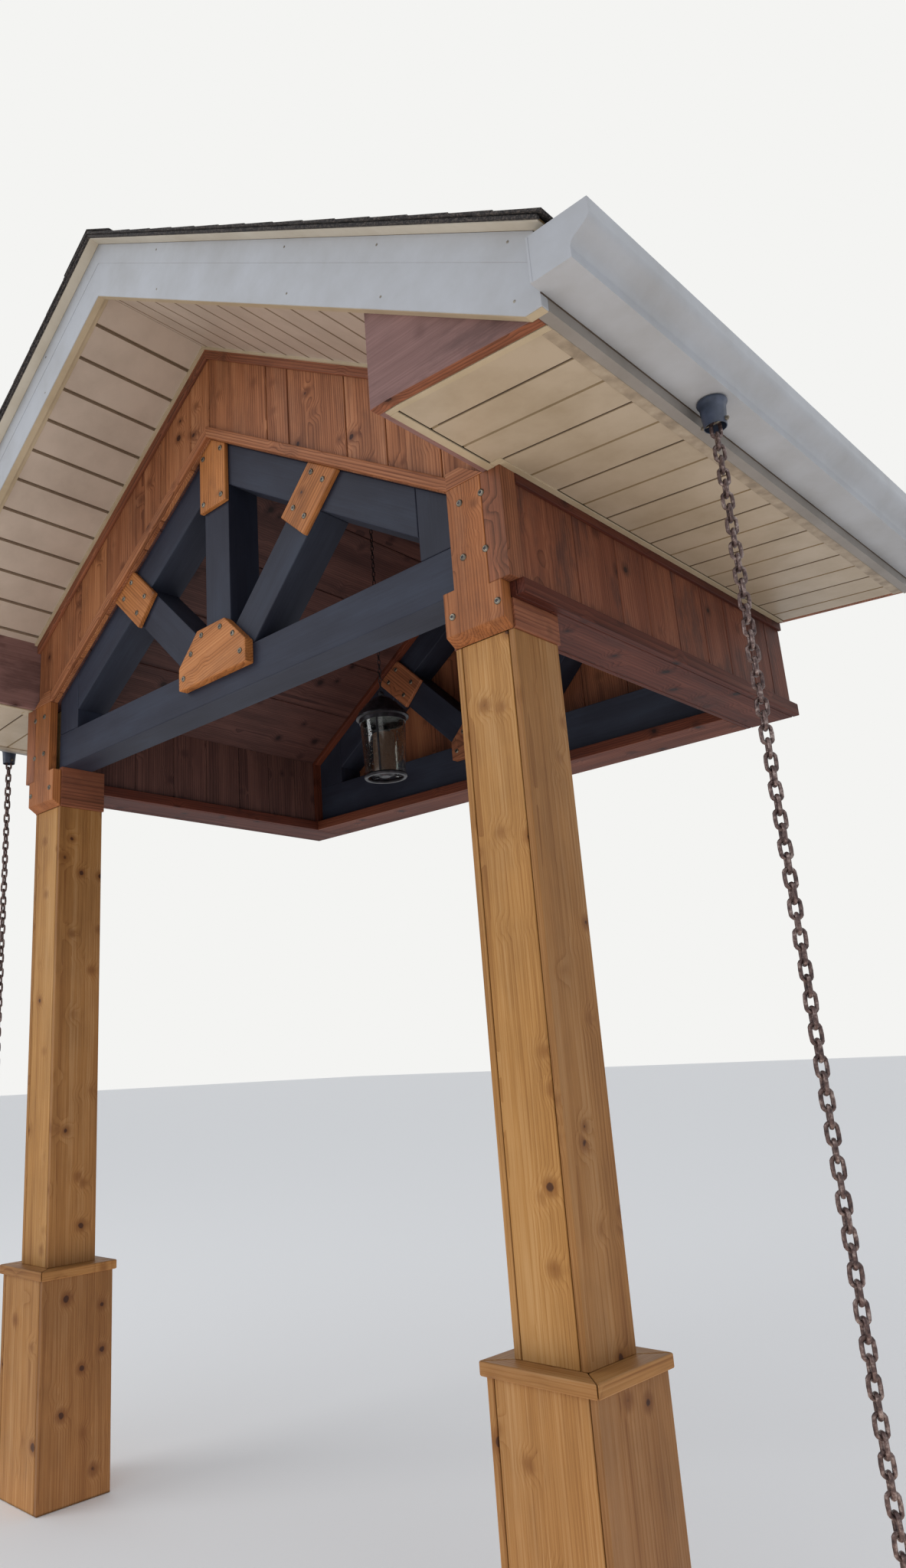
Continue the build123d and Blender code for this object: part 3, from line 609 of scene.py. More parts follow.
def post_heads():
    """Collar boards, T-shaped face boards with a sloped foot, and corner boards that lap their shoulders."""
    low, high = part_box("post_face_boards")
    shaft_low, shaft_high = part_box("right_post_shaft")
    collar_low, collar_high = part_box("post_collars")
    corner_low, corner_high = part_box("corner_boards")
    sill_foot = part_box("side_sills")[0].z
    stem_outer = corner_high.x - CORNER_WIDTH
    reveal = collar_high.x - shaft_high.x
    thick = BOARD + reveal
    inner, outer = shaft_low.x - reveal, shaft_high.x + reveal
    reach = 0.1                 # how far the cutters stick out of the board
    faces, collars, corners = [], [], []
    for side in (-1, 1):
        face = block(side, (shaft_low.x, low.y, low.z), (shaft_high.x, high.y, high.z))
        for edge, way, top in ((stem_outer, 1, corner_low.z), (STEM_INNER, -1, low.z + BLOCK_HEIGHT)):
            cutter = block(side, (edge, low.y - reach, top),
                           (edge + way * reach, high.y + reach, high.z + reach))
            apply_modifier(face, "BOOLEAN", object=cutter, operation="DIFFERENCE", solver="EXACT")
            bpy.data.objects.remove(cutter)
        saw(face, ((0, low.y, low.z + BLOCK_SLOPE), (0, -BLOCK_SLOPE, -(high.y - low.y))))
        faces.append(dress(face, edge=0.0025, tone=-0.3, segments=2))
        for a, b, top in ((inner, inner + thick, collar_high.z), (outer - thick, outer, sill_foot)):
            collars.append(board(side, (a, shaft_low.y + COLLAR_SETBACK, collar_low.z),
                                 (b, collar_high.y, top), (0, 1, 0), tone=-0.5))
        collars.append(board(side, (inner + thick, collar_high.y - thick, collar_low.z),
                             (outer - thick, collar_high.y, sill_foot), (1, 0, 0), tone=-0.3))
        corners.append(board(side, (stem_outer + JOINT, corner_low.y, corner_low.z), corner_high, tone=1.1))
    finish_piece("post_head_face_boards", faces, orange, "stained_cedar", "post_face_boards")
    finish_piece("post_head_collar_boards", collars, russet, "stained_cedar", "post_collars")
    finish_piece("post_head_corner_boards", corners, russet, "stained_cedar", "corner_boards")


# Side beams

OUTER_JOINTS = (-1.395, -1.164, -1.000, -0.820, -0.628, -0.460, -0.280, -0.130)
INNER_JOINTS = (-1.300, -1.090, -0.900, -0.700, -0.510, -0.330, -0.160)
FRIEZE = (0.012, 0.030)         # thickness and height
# Painted shade: the outer wall boards darken from the front to the rear, for the shade deeper under the roof.
OUTER_TONES = (1.3, -1.6)       # at the front and at the rear
INNER_TONES = (1.3, 0.8)


def upright_boards(side, low, high, joints, tones, cuts=()):
    """Row of upright boards along Y between joints, their tone running from the front to the rear."""
    edges = [low[1], *joints, high[1]]
    gap = OPEN_JOINT / 2
    pieces = []
    for a, b in zip(edges, edges[1:]):
        way = (a - edges[0]) / (edges[-1] - edges[0])
        tone = tones[0] * (1 - way) + tones[1] * way + draw.uniform(-0.6, 0.6)
        pieces.append(board(side, (low[0], a + gap, low[2]), (high[0], b - gap, high[2]), cuts=cuts,
                            edge=WALL_EASE, tone=tone))
    return pieces


def side_beams():
    outer_low, outer_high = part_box("outer_wall_boards")
    inner_low, inner_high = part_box("inner_wall_boards")
    low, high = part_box("side_sills")
    core_low, core_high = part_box("post_cores")
    front, back, core = core_low.y, core_high.y, core_high.x
    wall, room = outer_high.x, inner_high.x - BOARD
    outers, inners, friezes, sills = [], [], [], []
    for side in (-1, 1):
        outers += upright_boards(side, (wall - BOARD, outer_low.y, outer_low.z), outer_high, OUTER_JOINTS,
                                 OUTER_TONES)
        inners += upright_boards(side, (room, inner_low.y, inner_low.z),
                                 (room + BOARD, inner_high.y, CEILING - PITCH * room), INNER_JOINTS,
                                 INNER_TONES, [below(CEILING, side)])
        # Painted shade: the frieze strip is dark red at tone -0.9, for the shade under the soffit.
        friezes.append(board(side, (wall, outer_low.y, outer_high.z - FRIEZE[1]),
                             (wall + FRIEZE[0], outer_high.y, outer_high.z), (0, 1, 0), tone=-0.9))
        # Outer lip, inner lip, and the boards between them behind, beside and before the post
        for x0, y0, x1, y1 in (
                (wall, low.y, high.x, high.y),
                (room - BOARD, back, room - JOINT, high.y),
                (room, back + JOINT, wall - JOINT, high.y),
                (core + JOINT, low.y, wall - JOINT, back),
                (room, low.y, core, front - JOINT)):
            sills.append(board(side, (x0, y0, low.z), (x1, y1, high.z), (0, 1, 0), edge=0.002,
                               tone=draw.uniform(-1.2, -0.6)))
    finish_piece("outer_wall_planks", outers, umber, "stained_cedar", "outer_wall_boards")
    finish_piece("inner_wall_planks", inners, mahogany, "dark_stained_boards", "inner_wall_boards")
    finish_piece("eave_friezes", friezes, redwood, "stained_cedar")
    finish_piece("side_sill_boards", sills, redwood, "stained_cedar", "side_sills")


# Trusses

KING = 0.070                    # half the king post's width
STRUT_HALF = 0.070
STRUT_ORIGIN_DROP = 0.092       # top of the chord down to where the axes of the struts meet
STRUT_RECESS = 0.002
LEG_INNER = 0.955
RAFTER_DEPTH = 0.140


def timber(side, low, high, along, cuts=()):
    return board(side, low, high, along, cuts, TRUSS_EASE, segments=2)


def truss(name):
    """Legs, king post, rafters, chord and struts of one truss as separate painted timbers."""
    low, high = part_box(f"{name}_truss_posts")
    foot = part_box(f"{name}_truss_chords")[0].z
    front, back, chord_top = low.y, high.y, low.z
    rafter_foot = CEILING - RAFTER_DEPTH / ACROSS
    origin = chord_top - STRUT_ORIGIN_DROP
    reach = STRUT_HALF * math.sqrt(2)
    gap = JOINT / 2
    pieces = [timber(1, (-high.x, front, foot), (high.x, back, chord_top - gap), (1, 0, 0)),
              timber(1, (-KING, front, chord_top), (KING, back, CEILING), (0, 0, 1),
                     [below(CEILING, 1), below(CEILING, -1)])]
    for side in (-1, 1):
        pieces += [
            timber(side, (LEG_INNER + gap, front, chord_top), (high.x, back, CEILING), (0, 0, 1),
                   [below(CEILING, side)]),
            timber(side, (KING + gap, front, 0), (LEG_INNER - gap, back, CEILING), down_slope(side),
                   [below(CEILING, side), above(rafter_foot, side)]),
            timber(side, (KING + gap, front + STRUT_RECESS, chord_top + gap),
                   (LEG_INNER, back - STRUT_RECESS, CEILING), (side, 0, 1),
                   [((0, 0, origin + reach), (-side, 0, 1)), ((0, 0, origin - reach), (side, 0, -1)),
                    below(rafter_foot, side)]),
        ]
    nodes = [f"{name}_truss_{part}" for part in ("posts", "chords", "struts")]
    finish_piece(f"{name}_truss_timbers", pieces, charcoal, "black_timber", *nodes)
    return origin


PLATE_THICKNESS = 0.020
PLATE_WIDTH = 0.155
PLATE_LENGTH = 0.222
APEX_PLATE = (0.150, 0.285)     # width and height
CENTRE_PLATE = (0.190, 0.078, 0.200, 0.087)     # half its foot, half its top, height, height of shoulders
# Screws: across the plate and up from its apex or foot, and for a strut's plate, up it and off its axis
APEX_SCREWS = ((-0.052, -0.062), (-0.052, -0.255), (0.052, -0.062), (0.052, -0.255))
CENTRE_SCREWS = ((-0.052, 0.175), (0.056, 0.172), (-0.115, 0.122), (0.125, 0.124), (-0.160, 0.040),
                 (0.163, 0.046))
STRUT_SCREWS = ((0.052, -0.037), (0.052, 0.037), (0.184, -0.037), (0.184, 0.037))


def gussets(name, origin, apex):
    """Plates over the truss joints. Gives the places of their screws."""
    low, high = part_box(f"{name}_gusset_plates")
    front, back, foot = high.y - PLATE_THICKNESS, high.y, low.z
    half, drop = APEX_PLATE[0] / 2, APEX_PLATE[1]
    wide, narrow, tall, shoulder = CENTRE_PLATE
    slants = [((side * wide, 0, foot + shoulder), (side * (tall - shoulder), 0, wide - narrow))
              for side in (-1, 1)]
    plates = [board(1, (-half, front, apex - drop), (half, back, apex), (0, 0, 1),
                    [below(apex, 1), below(apex, -1)], ROUTED, 1.6, 2),
              board(1, (-wide, low.y, foot), (wide, back, foot + tall), (1, 0, 0.2), slants, ROUTED, 1.2, 2)]
    holes = [(x, front, z + apex) for x, z in APEX_SCREWS] + [(x, low.y, foot + z) for x, z in CENTRE_SCREWS]
    joint = (apex - origin) / (1 + PITCH)
    diagonal = math.sqrt(0.5)
    for side in (-1, 1):
        along, across = Vector((side * diagonal, 0, diagonal)), Vector((diagonal, 0, -side * diagonal))
        head = Vector((side * joint, 0, origin + joint))
        cuts = [(head + across * s * PLATE_WIDTH / 2, across * s) for s in (-1, 1)]
        cuts += [(head - along * PLATE_LENGTH, -along), below(apex, side)]
        plates.append(board(1, (head.x - 0.3, front, head.z - 0.4), (head.x + 0.3, back, head.z + 0.3), along,
                            cuts, ROUTED, 1.2, 2))
        for up, s in STRUT_SCREWS:
            down = (PLATE_LENGTH - up) * diagonal
            holes.append((side * (joint - down + s * diagonal), front, origin + joint - down - s * diagonal))
    # The rear plates are the same wood as the front ones, painted in the darker russet as the shade inside
    # the porch.
    stain = orange if name == "front" else russet
    finish_piece(f"{name}_gusset_boards", plates, stain, "stained_cedar", f"{name}_gusset_plates")
    return holes


SCREW_HEAD = 0.0105             # radius
POST_SCREWS = ((1.150, 0.143), (1.226, 0.142), (1.147, -0.023), (1.224, -0.027), (1.093, -0.183),
               (1.247, -0.190))


def fasteners(holes):
    """Structural screws facing the front, each at its own turn: flange, domed washer head and star recess."""
    r = SCREW_HEAD
    head = lathe([(0, 0.0022), (r * 0.40, 0.0022), (r * 0.46, 0.0040), (r * 0.62, 0.0044), (r * 0.84, 0.0034),
                  (r, 0.0014), (r, -0.001)], FACING, 18)
    heads = [twin(head, Matrix.Translation(p) @ Matrix.Rotation(draw.uniform(0, 1), 4, "Y")) for p in holes]
    bpy.data.objects.remove(head)
    finish_piece("structural_screws", [smooth(join(heads))], zinc)
    # Painted shade: each star recess is a flat near-black bronze disc in the head's dish, not a hole.
    recess = lathe([(0, 0.0003), (r * 0.42, 0.0003), (r * 0.42, -0.001)], FACING, 6)
    recesses = [twin(recess, Matrix.Translation((x, y - 0.0024, z))) for x, y, z in holes]
    bpy.data.objects.remove(recess)
    finish_piece("structural_screws_recesses", recesses, bronze)


# Gables, ceiling and closure

RIGHT_JOINTS = (0.328, 0.440, 0.710, 0.879, 1.085)
LEFT_JOINTS = (0.118, 0.316, 0.432, 0.705, 0.900, 1.060)
REAR_JOINTS = (0.150, 0.426, 0.640, 0.830, 1.010)
PLANK_JOINTS = (0.094, 0.348, 0.602, 0.856)
TRIM_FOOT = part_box("lower_rake_trim")[0].z
TRIM_STUB = 0.053               # level end of the lower trim over a face board


def gable_row(side, joints, edge, low, high, base=None):
    """Upright boards of half a gable, cut to the roof line above and, if one is given, to a line below."""
    edges = [0.0, *joints, edge]
    gap = OPEN_JOINT / 2
    cuts = [below(DECK, side)] + ([] if base is None else [above(base, side)])
    return [board(side, (a + gap, low.y, low.z), (b - gap, high.y, DECK), cuts=cuts, edge=WALL_EASE)
            for a, b in zip(edges, edges[1:])]


def gables():
    low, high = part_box("front_gable_boards")
    front = gable_row(1, RIGHT_JOINTS, high.x, low, high, CEILING)
    front += gable_row(-1, LEFT_JOINTS, high.x, low, high, CEILING)
    finish_piece("front_gable_planks", front, copper, "stained_cedar", "front_gable_boards")
    low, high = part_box("rear_gable_wall")
    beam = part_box("side_headers")[1].x
    corner, fall = eave_corner()
    rear = []
    for side in (-1, 1):
        rear += gable_row(side, REAR_JOINTS, beam, low, high)
        rear.append(board(side, (beam + JOINT, low.y, low.z), (high.x, high.y, DECK),
                          cuts=[below(DECK, side), ((side * corner.x, 0, corner.z), (-side * fall, 0, -1))]))
    finish_piece("rear_gable_planks", rear, russet, "dark_stained_boards", "rear_gable_wall")


def rake_trims():
    low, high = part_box("upper_rake_trim")
    apex = apex_of("upper_rake_trim")
    depth = high.z - apex
    lower, upper = [], []
    for side in (-1, 1):
        way = down_slope(side)
        strip = band(side, (0, low.y, low.z), high, apex + depth, apex)
        upper.append(dress(strip, way, ROUTED, -0.4, 2))
        strip = band(side, (0, low.y, TRIM_FOOT), high, CEILING + depth, CEILING)
        lower.append(dress(strip, way, ROUTED, -0.2, 2))
        lower.append(board(side, (STEM_INNER + 0.003, low.y - 0.001, TRIM_FOOT),
                           (high.x, high.y, TRIM_FOOT + TRIM_STUB), (1, 0, 0),
                           [below(TRIM_FOOT + PITCH * high.x + 0.001, side)], 0.003, -0.1))
    finish_piece("lower_rake_boards", lower, copper, "stained_cedar", "lower_rake_trim")
    finish_piece("upper_rake_boards", upper, russet, "stained_cedar", "upper_rake_trim")


def rear_frame():
    low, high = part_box("rear_frame_trim")
    pieces = [board(1, *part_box("rear_sill"), (1, 0, 0), tone=0.8)]
    for side in (-1, 1):
        pieces.append(board(side, (high.x - BOARD, low.y, low.z), (high.x, high.y, CEILING), tone=0.3,
                            cuts=[below(CEILING - PLUMB, side)]))
        pieces.append(board(side, (0, low.y, low.z), (high.x, high.y, CEILING), down_slope(side), tone=0.3,
                            cuts=[below(CEILING, side), above(CEILING - PLUMB, side)]))
    finish_piece("rear_frame_boards", pieces, redwood, "stained_cedar", "rear_sill", "rear_frame_trim")


def ceiling():
    """Planks across the slope, which meet in an upright joint at the ridge."""
    low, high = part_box("ceiling_boards")
    rise = high.z - CEILING
    edges = [0.0, *PLANK_JOINTS, high.x]
    spare = 0.02                # cut off at the joints
    pieces = []
    for side in (-1, 1):
        out = down_slope(side)
        for a, b in zip(edges, edges[1:]):
            cuts = [below(CEILING + rise, side), above(CEILING, side),
                    ((side * (b - JOINT), 0, CEILING - PITCH * b), out),
                    ((side * (a + JOINT), 0, CEILING - PITCH * a), -out if a else (-side, 0, 0))]
            # The ceiling planks' low tones, -1.6 to -0.7, darken them further as painted shade.
            pieces.append(board(side, (a - spare, low.y, low.z - spare), (b + spare, high.y, high.z),
                                (0, 1, 0), cuts, 0.003, draw.uniform(-1.6, -0.7)))
    finish_piece("ceiling_planks", pieces, mahogany, "dark_stained_boards", "ceiling_boards")


# Soffits, fascias and gutters

def shade_grooves(piece, up, dark):
    """Second finish on the slanted faces of the grooves, which hold dust and shadow."""
    piece.data.materials.append(dark)
    for face in piece.data.polygons:
        if 0.3 < abs(face.normal.dot(up)) < 0.9 and face.area < 0.02:
            face.material_index = 1


def rake_soffit():
    """Grooved panels under the front overhang, running out from the gable. Gives their channels' pieces."""
    low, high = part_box("rake_soffit")
    rise = high.z - RAKE
    ridge = Vector((0, 0, RAKE))
    gap = 0.0006
    channels = []
    for name, side in SIDES:
        out = down_slope(side)
        up = Vector((side * math.sin(SLOPE), 0, ACROSS))
        place = (0.090 if side < 0 else 0.030) / ACROSS
        places = [0.0]
        while place < high.x / ACROSS:
            places.append(place)
            place += RAKE_PANEL
        places.append(high.x / ACROSS)
        strips = []
        for a, b in zip(places, places[1:]):
            p, q = ridge + out * (a + gap), ridge + out * (b - gap)
            cuts = [below(RAKE + rise, side), above(RAKE, side), (p, -out if a else (-side, 0, 0)), (q, out)]
            if a:
                cuts.append((p + out * RAKE_GROOVE, -out - up))
            if b < places[-1]:
                cuts.append((q - out * RAKE_GROOVE, out - up))
            strips.append(board(side, (0, low.y + 0.004, low.z - 0.1), (2, high.y - 0.006, high.z), (0, 1, 0),
                                cuts, 0))
        panels = finish_piece(f"{name}_rake_soffit_panels", strips, ecru, "cream_soffit", "rake_soffit")
        shade_grooves(panels, up, dusk)
        # Inner flange, the lip over it, and the front edge, each with its drop below the panels
        for y0, y1, drop in ((high.y - CHANNEL, high.y - 0.0010, 0.0100),
                             (high.y - 0.0055, high.y - 0.0005, 0.0135),
                             (low.y, low.y + 0.022, 0.0035)):
            strip = band(side, (0, y0, low.z - 0.1), (high.x, y1, high.z), RAKE + 0.001, RAKE - drop)
            channels.append(dress(strip, (0, 1, 0), 0.0005))
    return channels


FRONT_CHANNEL, RETURN_CHANNEL, WALL_CHANNEL = 0.020, 0.024, 0.022
PANEL_GAP = 0.0035              # open between a channel and the panels' ends
PANEL_SHEET = 0.011             # height that the panels take up over their grooves
HAIR = 0.0005                   # keeps two pieces from touching


def eave_soffits(channels):
    """Grooved panels under the eaves: a joint after every second panel and a lighter groove between."""
    low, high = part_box("right_eave_soffit")
    level, edge = eave_corner()[0].z, eave_corner()[0].x
    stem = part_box("front_gable_boards")[1].x + BOARD
    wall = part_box("outer_wall_boards")[1].x
    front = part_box("corner_boards")[0].y
    pair = 2 * EAVE_PANEL
    outer = []
    for name, side in SIDES:
        strips, lines = [], []
        place = FIRST_EAVE_GROOVE - pair
        while place < high.y:
            a, middle, b = max(place, low.y), place + EAVE_PANEL, min(place + pair, high.y)
            inner = (stem + RETURN_CHANNEL if a < front else edge + WALL_CHANNEL) + PANEL_GAP
            for start, end in ((a, middle), (middle, b)):
                if end - start > 0.02:
                    strip = block(side, (inner, start + 0.0002, level),
                                  (high.x, end - 0.0002, level + PANEL_SHEET))
                    strips.append(saw(strip, ((0, start + PANEL_GROOVE, level), (0, -1, -1)),
                                      ((0, end - PANEL_GROOVE, level), (0, 1, -1))))
            place += pair
        panels = finish_piece(f"{name}_eave_panels", [hang(join(strips))], cream, "cream_soffit",
                              f"{name}_eave_soffit")
        shade_grooves(panels, Vector((0, 0, 1)), shade)
        place = FIRST_EAVE_GROOVE
        while place < high.y - 0.02:
            lines.append(hang(block(side, (wall + 0.020, place - 0.0016, level + 0.0002),
                                    (high.x - CHANNEL, place + 0.0012, level + 0.004))))
            place += pair
        finish_piece(f"{name}_eave_panel_joints", lines, grime_and_shadow, "cream_soffit")
        # Front edge, beside the return, before the corner board, along the wall, outer flange and its lip
        for x0, y0, x1, y1, drop in (
                (stem, low.y, high.x, low.y + FRONT_CHANNEL, 0.003),
                (stem, low.y + FRONT_CHANNEL, stem + RETURN_CHANNEL, front - HAIR, 0.004),
                (stem + RETURN_CHANNEL, front - WALL_CHANNEL, edge + WALL_CHANNEL, front - HAIR, 0.003),
                (edge, front - HAIR, edge + WALL_CHANNEL, high.y, 0.003),
                (high.x - CHANNEL, low.y + FRONT_CHANNEL, high.x - 0.003, high.y, 0.0035),
                (high.x - 0.003, low.y, high.x, high.y, 0.0045)):
            channel = board(side, (x0, y0, level - drop), (x1, y1, level + 0.001), (0, 1, 0), edge=0.0006)
            (outer if x0 > edge + 0.1 else channels).append(hang(channel))
    finish_piece("soffit_channels", channels, almond, "cream_soffit")
    finish_piece("outer_soffit_channels", outer, darker_blotchy, "cream_soffit")


NAIL_PLACES = (0.36, 0.98, 1.32, 1.70)          # out from the ridge
NAIL_DROPS = (0.030, 0.185)                     # below the deck


def fascias():
    """Bent fascia covers in two lapped runs, with a returned leg at the foot and nail heads."""
    low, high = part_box("rake_fascia")
    tip = (FASCIA - low.z) / PITCH
    lap = DECK - RAKE_SEAM
    covers, legs, nails = [], [], []
    for side in (-1, 1):
        lower = band(side, (0, low.y + SHEET, low.z), high, lap, FASCIA)
        upper = band(side, (0, low.y, low.z), high, DECK - 0.0015, lap - 0.0015)
        covers += [ease(lower, 0.0012), ease(upper, 0.0006)]
        legs += [band(side, (0, low.y + 0.004, low.z), (tip, high.y, high.z), FASCIA + 0.001, FASCIA - 0.001),
                 block(side, (tip, low.y + 0.004, low.z - 0.001), (high.x - 0.002, high.y, low.z + 0.001))]
        for out in NAIL_PLACES:
            for down in NAIL_DROPS:
                y = low.y if down < RAKE_SEAM else low.y + SHEET
                place = Matrix.Translation((side * out, y, DECK - PITCH * out - down))
                nails.append(lathe([(0, 0.0008), (0.0035, 0.0005), (0.0042, -0.001)], place @ FACING, 10))
    finish_piece("rake_fascia_covers", covers, pale, "pale_aluminium", "rake_fascia")
    finish_piece("rake_fascia_returned_legs", legs, almond, "pale_aluminium")
    finish_piece("fascia_trim_nails", nails, zinc)


def returns():
    """Triangular boards in front of the eave boxes, the boards behind them, and their undersides."""
    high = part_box("eave_returns")[1]
    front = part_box("rake_fascia")[1].y + HAIR
    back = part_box("right_eave_soffit")[0].y
    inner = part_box("front_gable_boards")[1].x
    level = eave_corner()[0].z
    pieces, feet = [], []
    for side in (-1, 1):
        pieces.append(board(side, (inner, back + HAIR, level), (inner + BOARD, high.y, DECK), (0, 1, 0),
                            [below(DECK, side)], tone=-0.3))
        face = hang(block(side, (inner, front, level), (high.x, back, high.z)))
        pieces.append(dress(saw(face, below(RAKE, side)), (1, 0, 0), tone=-0.4))
        # The undersides are a thin sheet in the warmer russet stain: the same boards painted warmer
        # underneath for the light from below.
        foot = block(side, (inner + 0.001, front + 0.0015, level - 0.0008),
                     (high.x - 0.004, back - 0.002, level + 0.001))
        feet.append(grain(hang(foot), (1, 0, 0), 0))
        pieces.append(board(side, (inner, front, RAKE - PITCH * (inner + 0.1)),
                            (inner + BOARD, back, DECK), cuts=[below(DECK, side), above(RAKE + 0.001, side)]))
    finish_piece("eave_return_boards", pieces, faded_and_shaded, "dark_stained_boards", "eave_returns")
    finish_piece("eave_return_undersides", feet, russet, "dark_stained_boards")


HANGER_SPACING = 0.41


def gutter_fittings():
    """End cap flanges, hidden hangers, and a dark strip that paints the shadow in the gap between each gutter
    and its fascia.
    """
    low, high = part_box("right_gutter")
    pieces, shadow_strips = [], []
    for side in (-1, 1):
        for y in (low.y - 0.0012, high.y - 0.012):
            pieces.append(block(side, (low.x + 0.0005, y, low.z + 0.001),
                                (low.x + 0.007, y + 0.012, high.z - 0.001)))
        y = low.y + 0.25
        while y < high.y - 0.1:
            pieces.append(block(side, (low.x + 0.004, y, high.z - 0.018),
                                (high.x - 0.006, y + 0.028, high.z - 0.014)))
            y += HANGER_SPACING
        # Painted shadow: a near-black strip along the gap between the gutter and its fascia.
        shadow_strips.append(block(side, (low.x - 0.0005, low.y + 0.036, low.z - 0.0035),
                             (low.x + 0.0015, high.y, low.z + 0.0002)))
    pieces = [ease(piece, 0.0012) for piece in pieces]
    finish_piece("gutter_flanges_and_hangers", pieces, pale, "pale_aluminium")
    finish_piece("gutter_painted_shadow_lines", shadow_strips, grime_and_shadow)


def outlets():
    """Flared outlets with a pin and wing nuts that carry the rain chains."""
    low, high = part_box("gutter_outlets")
    wide = (high.y - low.y) / 2
    y = (low.y + high.y) / 2
    drop = high.z - low.z
    profile = [(wide * r, z) for r, z in (
        (0.80, -0.002), (0.96, -0.003), (0.98, -0.006), (0.96, -0.010), (0.88, -0.014), (0.84, -0.022),
        (0.74, -drop + 0.004), (0.735, -drop), (0.69, -drop), (0.69, -drop + 0.004), (0.78, -0.022),
        (0.80, -0.004), (0.80, -0.002))]
    funnels, pins = [], []
    for side in (-1, 1):
        x = side * (high.x - wide)
        z = low.z + 0.012
        funnels.append(lathe(profile, Matrix.Translation((x, y, high.z))))
        rod = primitive(bpy.ops.mesh.primitive_cylinder_add, vertices=16, radius=0.0032, depth=0.074,
                        rotation=(0, math.pi / 2, 0))
        ease(rod, 0.0008).data.transform(Matrix.Translation((x, y, z)))
        pins.append(rod)
        for end in (-0.030, 0.030):
            pins.append(lathe([(0.003, -0.003), (0.0066, -0.003), (0.0066, 0.003), (0.003, 0.003)],
                              Matrix.Translation((x + end, y, z)) @ CROSSING, 6))
    finish_piece("outlet_funnels", funnels, slate, "slate_metal", "gutter_outlets")
    finish_piece("outlet_pins", pins, zinc, "slate_metal")


def chain_link(wire, inside_length, outside_width, turns=18, sides=8):
    """Oval link in the XZ plane: a ring pulled apart at its middle."""
    bend = outside_width / 2 - wire / 2
    pull = (inside_length + wire) / 2 - bend
    link = primitive(bpy.ops.mesh.primitive_torus_add, major_radius=bend, minor_radius=wire / 2,
                     major_segments=turns, minor_segments=sides, rotation=(math.pi / 2, 0, 0))
    for vertex in link.data.vertices:
        if abs(vertex.co.z) > 1e-6:
            vertex.co.z += math.copysign(pull, vertex.co.z)
    return link


LINK_WIRE, LINK_INSIDE, LINK_WIDTH = 0.0098, 0.0330, 0.0325


def rain_chains():
    """Welded oval links, each turned a quarter from the last and hanging a little unevenly."""
    low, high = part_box("rain_chains")
    master = chain_link(LINK_WIRE, LINK_INSIDE, LINK_WIDTH)
    x, y = high.x - (high.y - low.y) / 2, (low.y + high.y) / 2
    for name, side in SIDES:
        links = []
        z = high.z - LINK_INSIDE / 2 + LINK_WIRE * 0.2
        for index in range(int((high.z - low.z) / LINK_INSIDE)):
            turn = math.radians(38 + 90 * (index % 2) + draw.uniform(-9, 9))
            tip = Matrix.Rotation(math.radians(draw.uniform(-2.5, 2.5)), 4, "Y")
            place = Matrix.Translation((side * x, y, z))
            links.append(twin(master, place @ Matrix.Rotation(turn, 4, "Z") @ tip))
            z -= LINK_INSIDE
        finish_piece(f"{name}_rain_chain_links", [smooth(join(links), 60)], rusty, "weathered_chain",
                     "rain_chains")
    bpy.data.objects.remove(master)


# Roof

EXPOSURE = 0.143
COVER = EXPOSURE + 0.06         # a shingle's length, with the part that the next one laps
STRIP, LAMINATED = 0.003, 0.0062                # thickness of the base strip, and with a tab on it
LIFT_AT_BUTT = 0.0035           # how far a course rises over the one below


def shingle_courses():
    """Laminated shingles in courses: a base strip with tabs of uneven width on it."""
    low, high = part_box("shingle_layer")
    length, width = high.x / ACROSS, high.y - low.y
    masters = []
    for _ in range(4):
        parts = [block(1, (0, 0, 0), (COVER, width, STRIP))]
        y = -draw.uniform(0.0, 0.12)
        while y < width:
            tab = draw.uniform(0.13, 0.24)
            a, b = max(y, 0), min(y + tab, width)
            if b - a > 0.02:
                parts.append(grain(block(1, (0.05, a, STRIP), (COVER, b, LAMINATED)), (0, 1, 0)))
            y += tab + draw.uniform(0.05, 0.13)
        grain(parts[0], (0, 1, 0), -1.0)
        course = ease(join(parts), 0.0008)
        for vertex in course.data.vertices:
            vertex.co.z += LIFT_AT_BUTT * vertex.co.x / COVER
        masters.append(course)
    courses = []
    for side in (-1, 1):
        lie = Matrix.Translation((0, low.y, SHINGLES)) @ Matrix.Rotation(SLOPE, 4, "Y")
        for index in range(math.ceil(length / EXPOSURE)):
            start = length - index * EXPOSURE - COVER
            master = masters[draw.randrange(4)]
            place = lie @ Matrix.Translation((start, 0, 0.0002))
            course = twin(master, Matrix.Scale(side, 4, Vector((1, 0, 0))) @ place)
            if start < 0.004:
                saw(course, ((side * 0.002, 0, 0), (-side, 0, 0)))
            courses.append(course)
    for master in masters:
        bpy.data.objects.remove(master)
    finish_piece("shingle_courses", courses, asphalt, "asphalt_shingle", "shingle_layer")


def ridge_caps():
    """Cap shingles folded over the ridge, each lapping the next."""
    low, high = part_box("ridge_cap")
    pieces = []
    y = low.y
    while y < high.y - 0.02:
        end = min(y + COVER, high.y)
        for side in (-1, 1):
            cap = band(side, (0, y, low.z - 0.02), (high.x, end, high.z), RIDGE + 0.0045, RIDGE + 0.0005)
            grain(cap, (0, 1, 0), draw.uniform(-1, 1))
            for vertex in cap.data.vertices:
                vertex.co.z += 0.0042 * (end - vertex.co.y) / (end - y)
            pieces.append(cap)
        y += EXPOSURE
    finish_piece("ridge_cap_shingles", pieces, asphalt, "asphalt_shingle", "ridge_cap")


